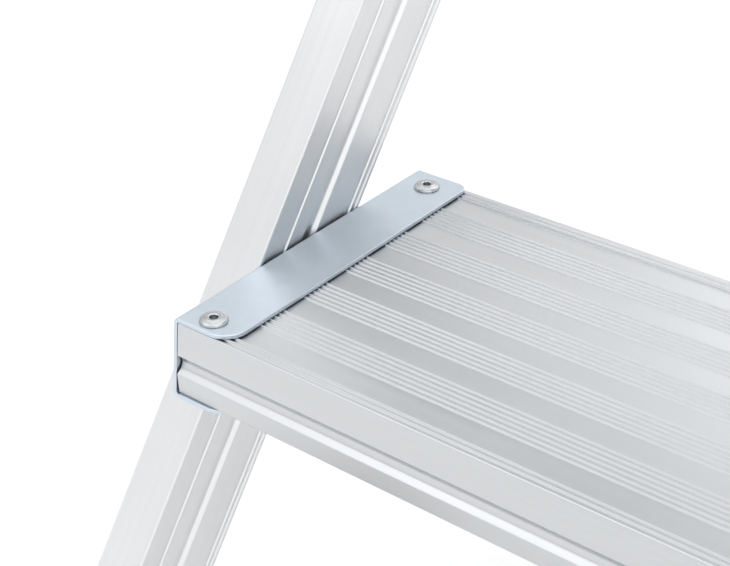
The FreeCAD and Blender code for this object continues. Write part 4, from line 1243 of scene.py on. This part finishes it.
@dataclass
class Studio:
    """Pale floor, soft light and the camera on the lower tread's left end.

    Angles are in degrees, the lens and sensor in millimetres and everything else in metres.
    """

    floor_size: float = 60.0
    azimuth: float = 38.937
    elevation: float = 31.208
    roll: float = -0.98
    distance: float = 0.481
    focal_length: float = 77.353
    sensor_width: float = 36.0
    clip: tuple[float, float] = (0.01, 100.0)
    aim: tuple[float, float, float] = (55.84 * MM, 31.97 * MM, 16.28 * MM)
    floor: StudioFloor = StudioFloor("studio_floor")
    sky_foot: float = -0.2
    sky: Points = ((0.0, 1.15), (0.2, 1.12), (0.4, 0.97), (0.6, 0.82), (0.8, 1.6), (1.0, 1.6))
    sky_slope: float = 0.18
    sky_level: float = 0.97
    sky_gain: float = 1.13
    lit: tuple[float, float, float] = (-0.1, -0.2, 0.4)
    lights: tuple[Softbox, ...] = (Softbox("key_softbox", (-1.6, -1.9, 2.6), 1.6, 9.0),
                                   Softbox("fill_softbox", (2.2, -2.0, 1.6), 2.0, 5.0),
                                   Softbox("rear_softbox", (-0.6, 2.4, 2.6), 1.8, 10.0))

    def build(self) -> None:
        """Make the floor, the lights, the world and the camera."""
        self._floor()
        self._world()
        for light in self.lights:
            light.hang(Vector(self.lit))
        self._camera()
        scene = bpy.context.scene
        scene.view_settings.view_transform = "Standard"
        scene.view_settings.look = "None"
        scene.view_settings.exposure = 0.0

    def _floor(self) -> None:
        """Lay the floor."""
        deselect()
        bpy.ops.mesh.primitive_plane_add(size=self.floor_size, location=(0, 0, 0))
        floor = bpy.context.object
        floor.name = "studio_floor"
        floor.data.materials.append(self.floor.make())

    def _world(self) -> None:
        """Soft surrounding light: brightest overhead, dimmer half-way up, and stronger from the right."""
        world = bpy.data.worlds.new("soft_surround")
        bpy.context.scene.world = world
        bench = Bench(world)
        direction = bench.node("ShaderNodeTexCoord", output="Generated")
        height = bench.stretch(bench.along(direction, Z_AXIS), low=self.sky_foot, high=1.0)
        stops = [(position, grey(value)) for position, value in self.sky]
        shade = bench.node("ShaderNodeValToRGB", {"stops": stops}, {"Fac": height})
        strength = (bench.along(direction, X_AXIS) * self.sky_slope + self.sky_level) * self.sky_gain
        light = bench.node("ShaderNodeBackground", {}, {"Color": shade, "Strength": strength})
        bench.node("ShaderNodeOutputWorld", {}, {"Surface": light})

    def _camera(self) -> None:
        """Place the camera from the left bracket of the lower tread."""
        low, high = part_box("lower_tread_left_bracket")
        corner = Vector((low.x, low.y, high.z))
        azimuth, elevation = math.radians(self.azimuth), math.radians(self.elevation)
        forward = Vector((-math.sin(azimuth) * math.cos(elevation), math.cos(azimuth) * math.cos(elevation),
                          -math.sin(elevation)))
        camera = bpy.data.objects.new("studio_camera", bpy.data.cameras.new("studio_camera"))
        bpy.context.scene.collection.objects.link(camera)
        camera.data.lens = self.focal_length
        camera.data.sensor_width = self.sensor_width
        camera.data.clip_start, camera.data.clip_end = self.clip
        target = corner + Vector(self.aim)
        camera.location = target - forward * self.distance
        turn = forward.to_track_quat("-Z", "Y") @ Matrix.Rotation(math.radians(self.roll), 3, "Z").to_quaternion()
        camera.rotation_mode = "QUATERNION"
        camera.rotation_quaternion = turn
        bpy.context.scene.camera = camera
        LOG.info("camera at %s, corner at %s", tuple(camera.location), tuple(corner))


# ------------------------------ main

def main() -> None:
    """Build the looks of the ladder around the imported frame."""
    logging.basicConfig(level=logging.INFO, format="%(name)s: %(message)s", stream=sys.stdout)
    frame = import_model()
    deselect()
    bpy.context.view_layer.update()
    dresser = Dresser(frame)
    Stiles().build(dresser)
    Treads().build(dresser)
    Platform().build(dresser)
    CrossMembers().build(dresser)
    Fasteners().build(dresser)
    Studio().build()
    deselect()


if __name__ == "__main__":
    main()
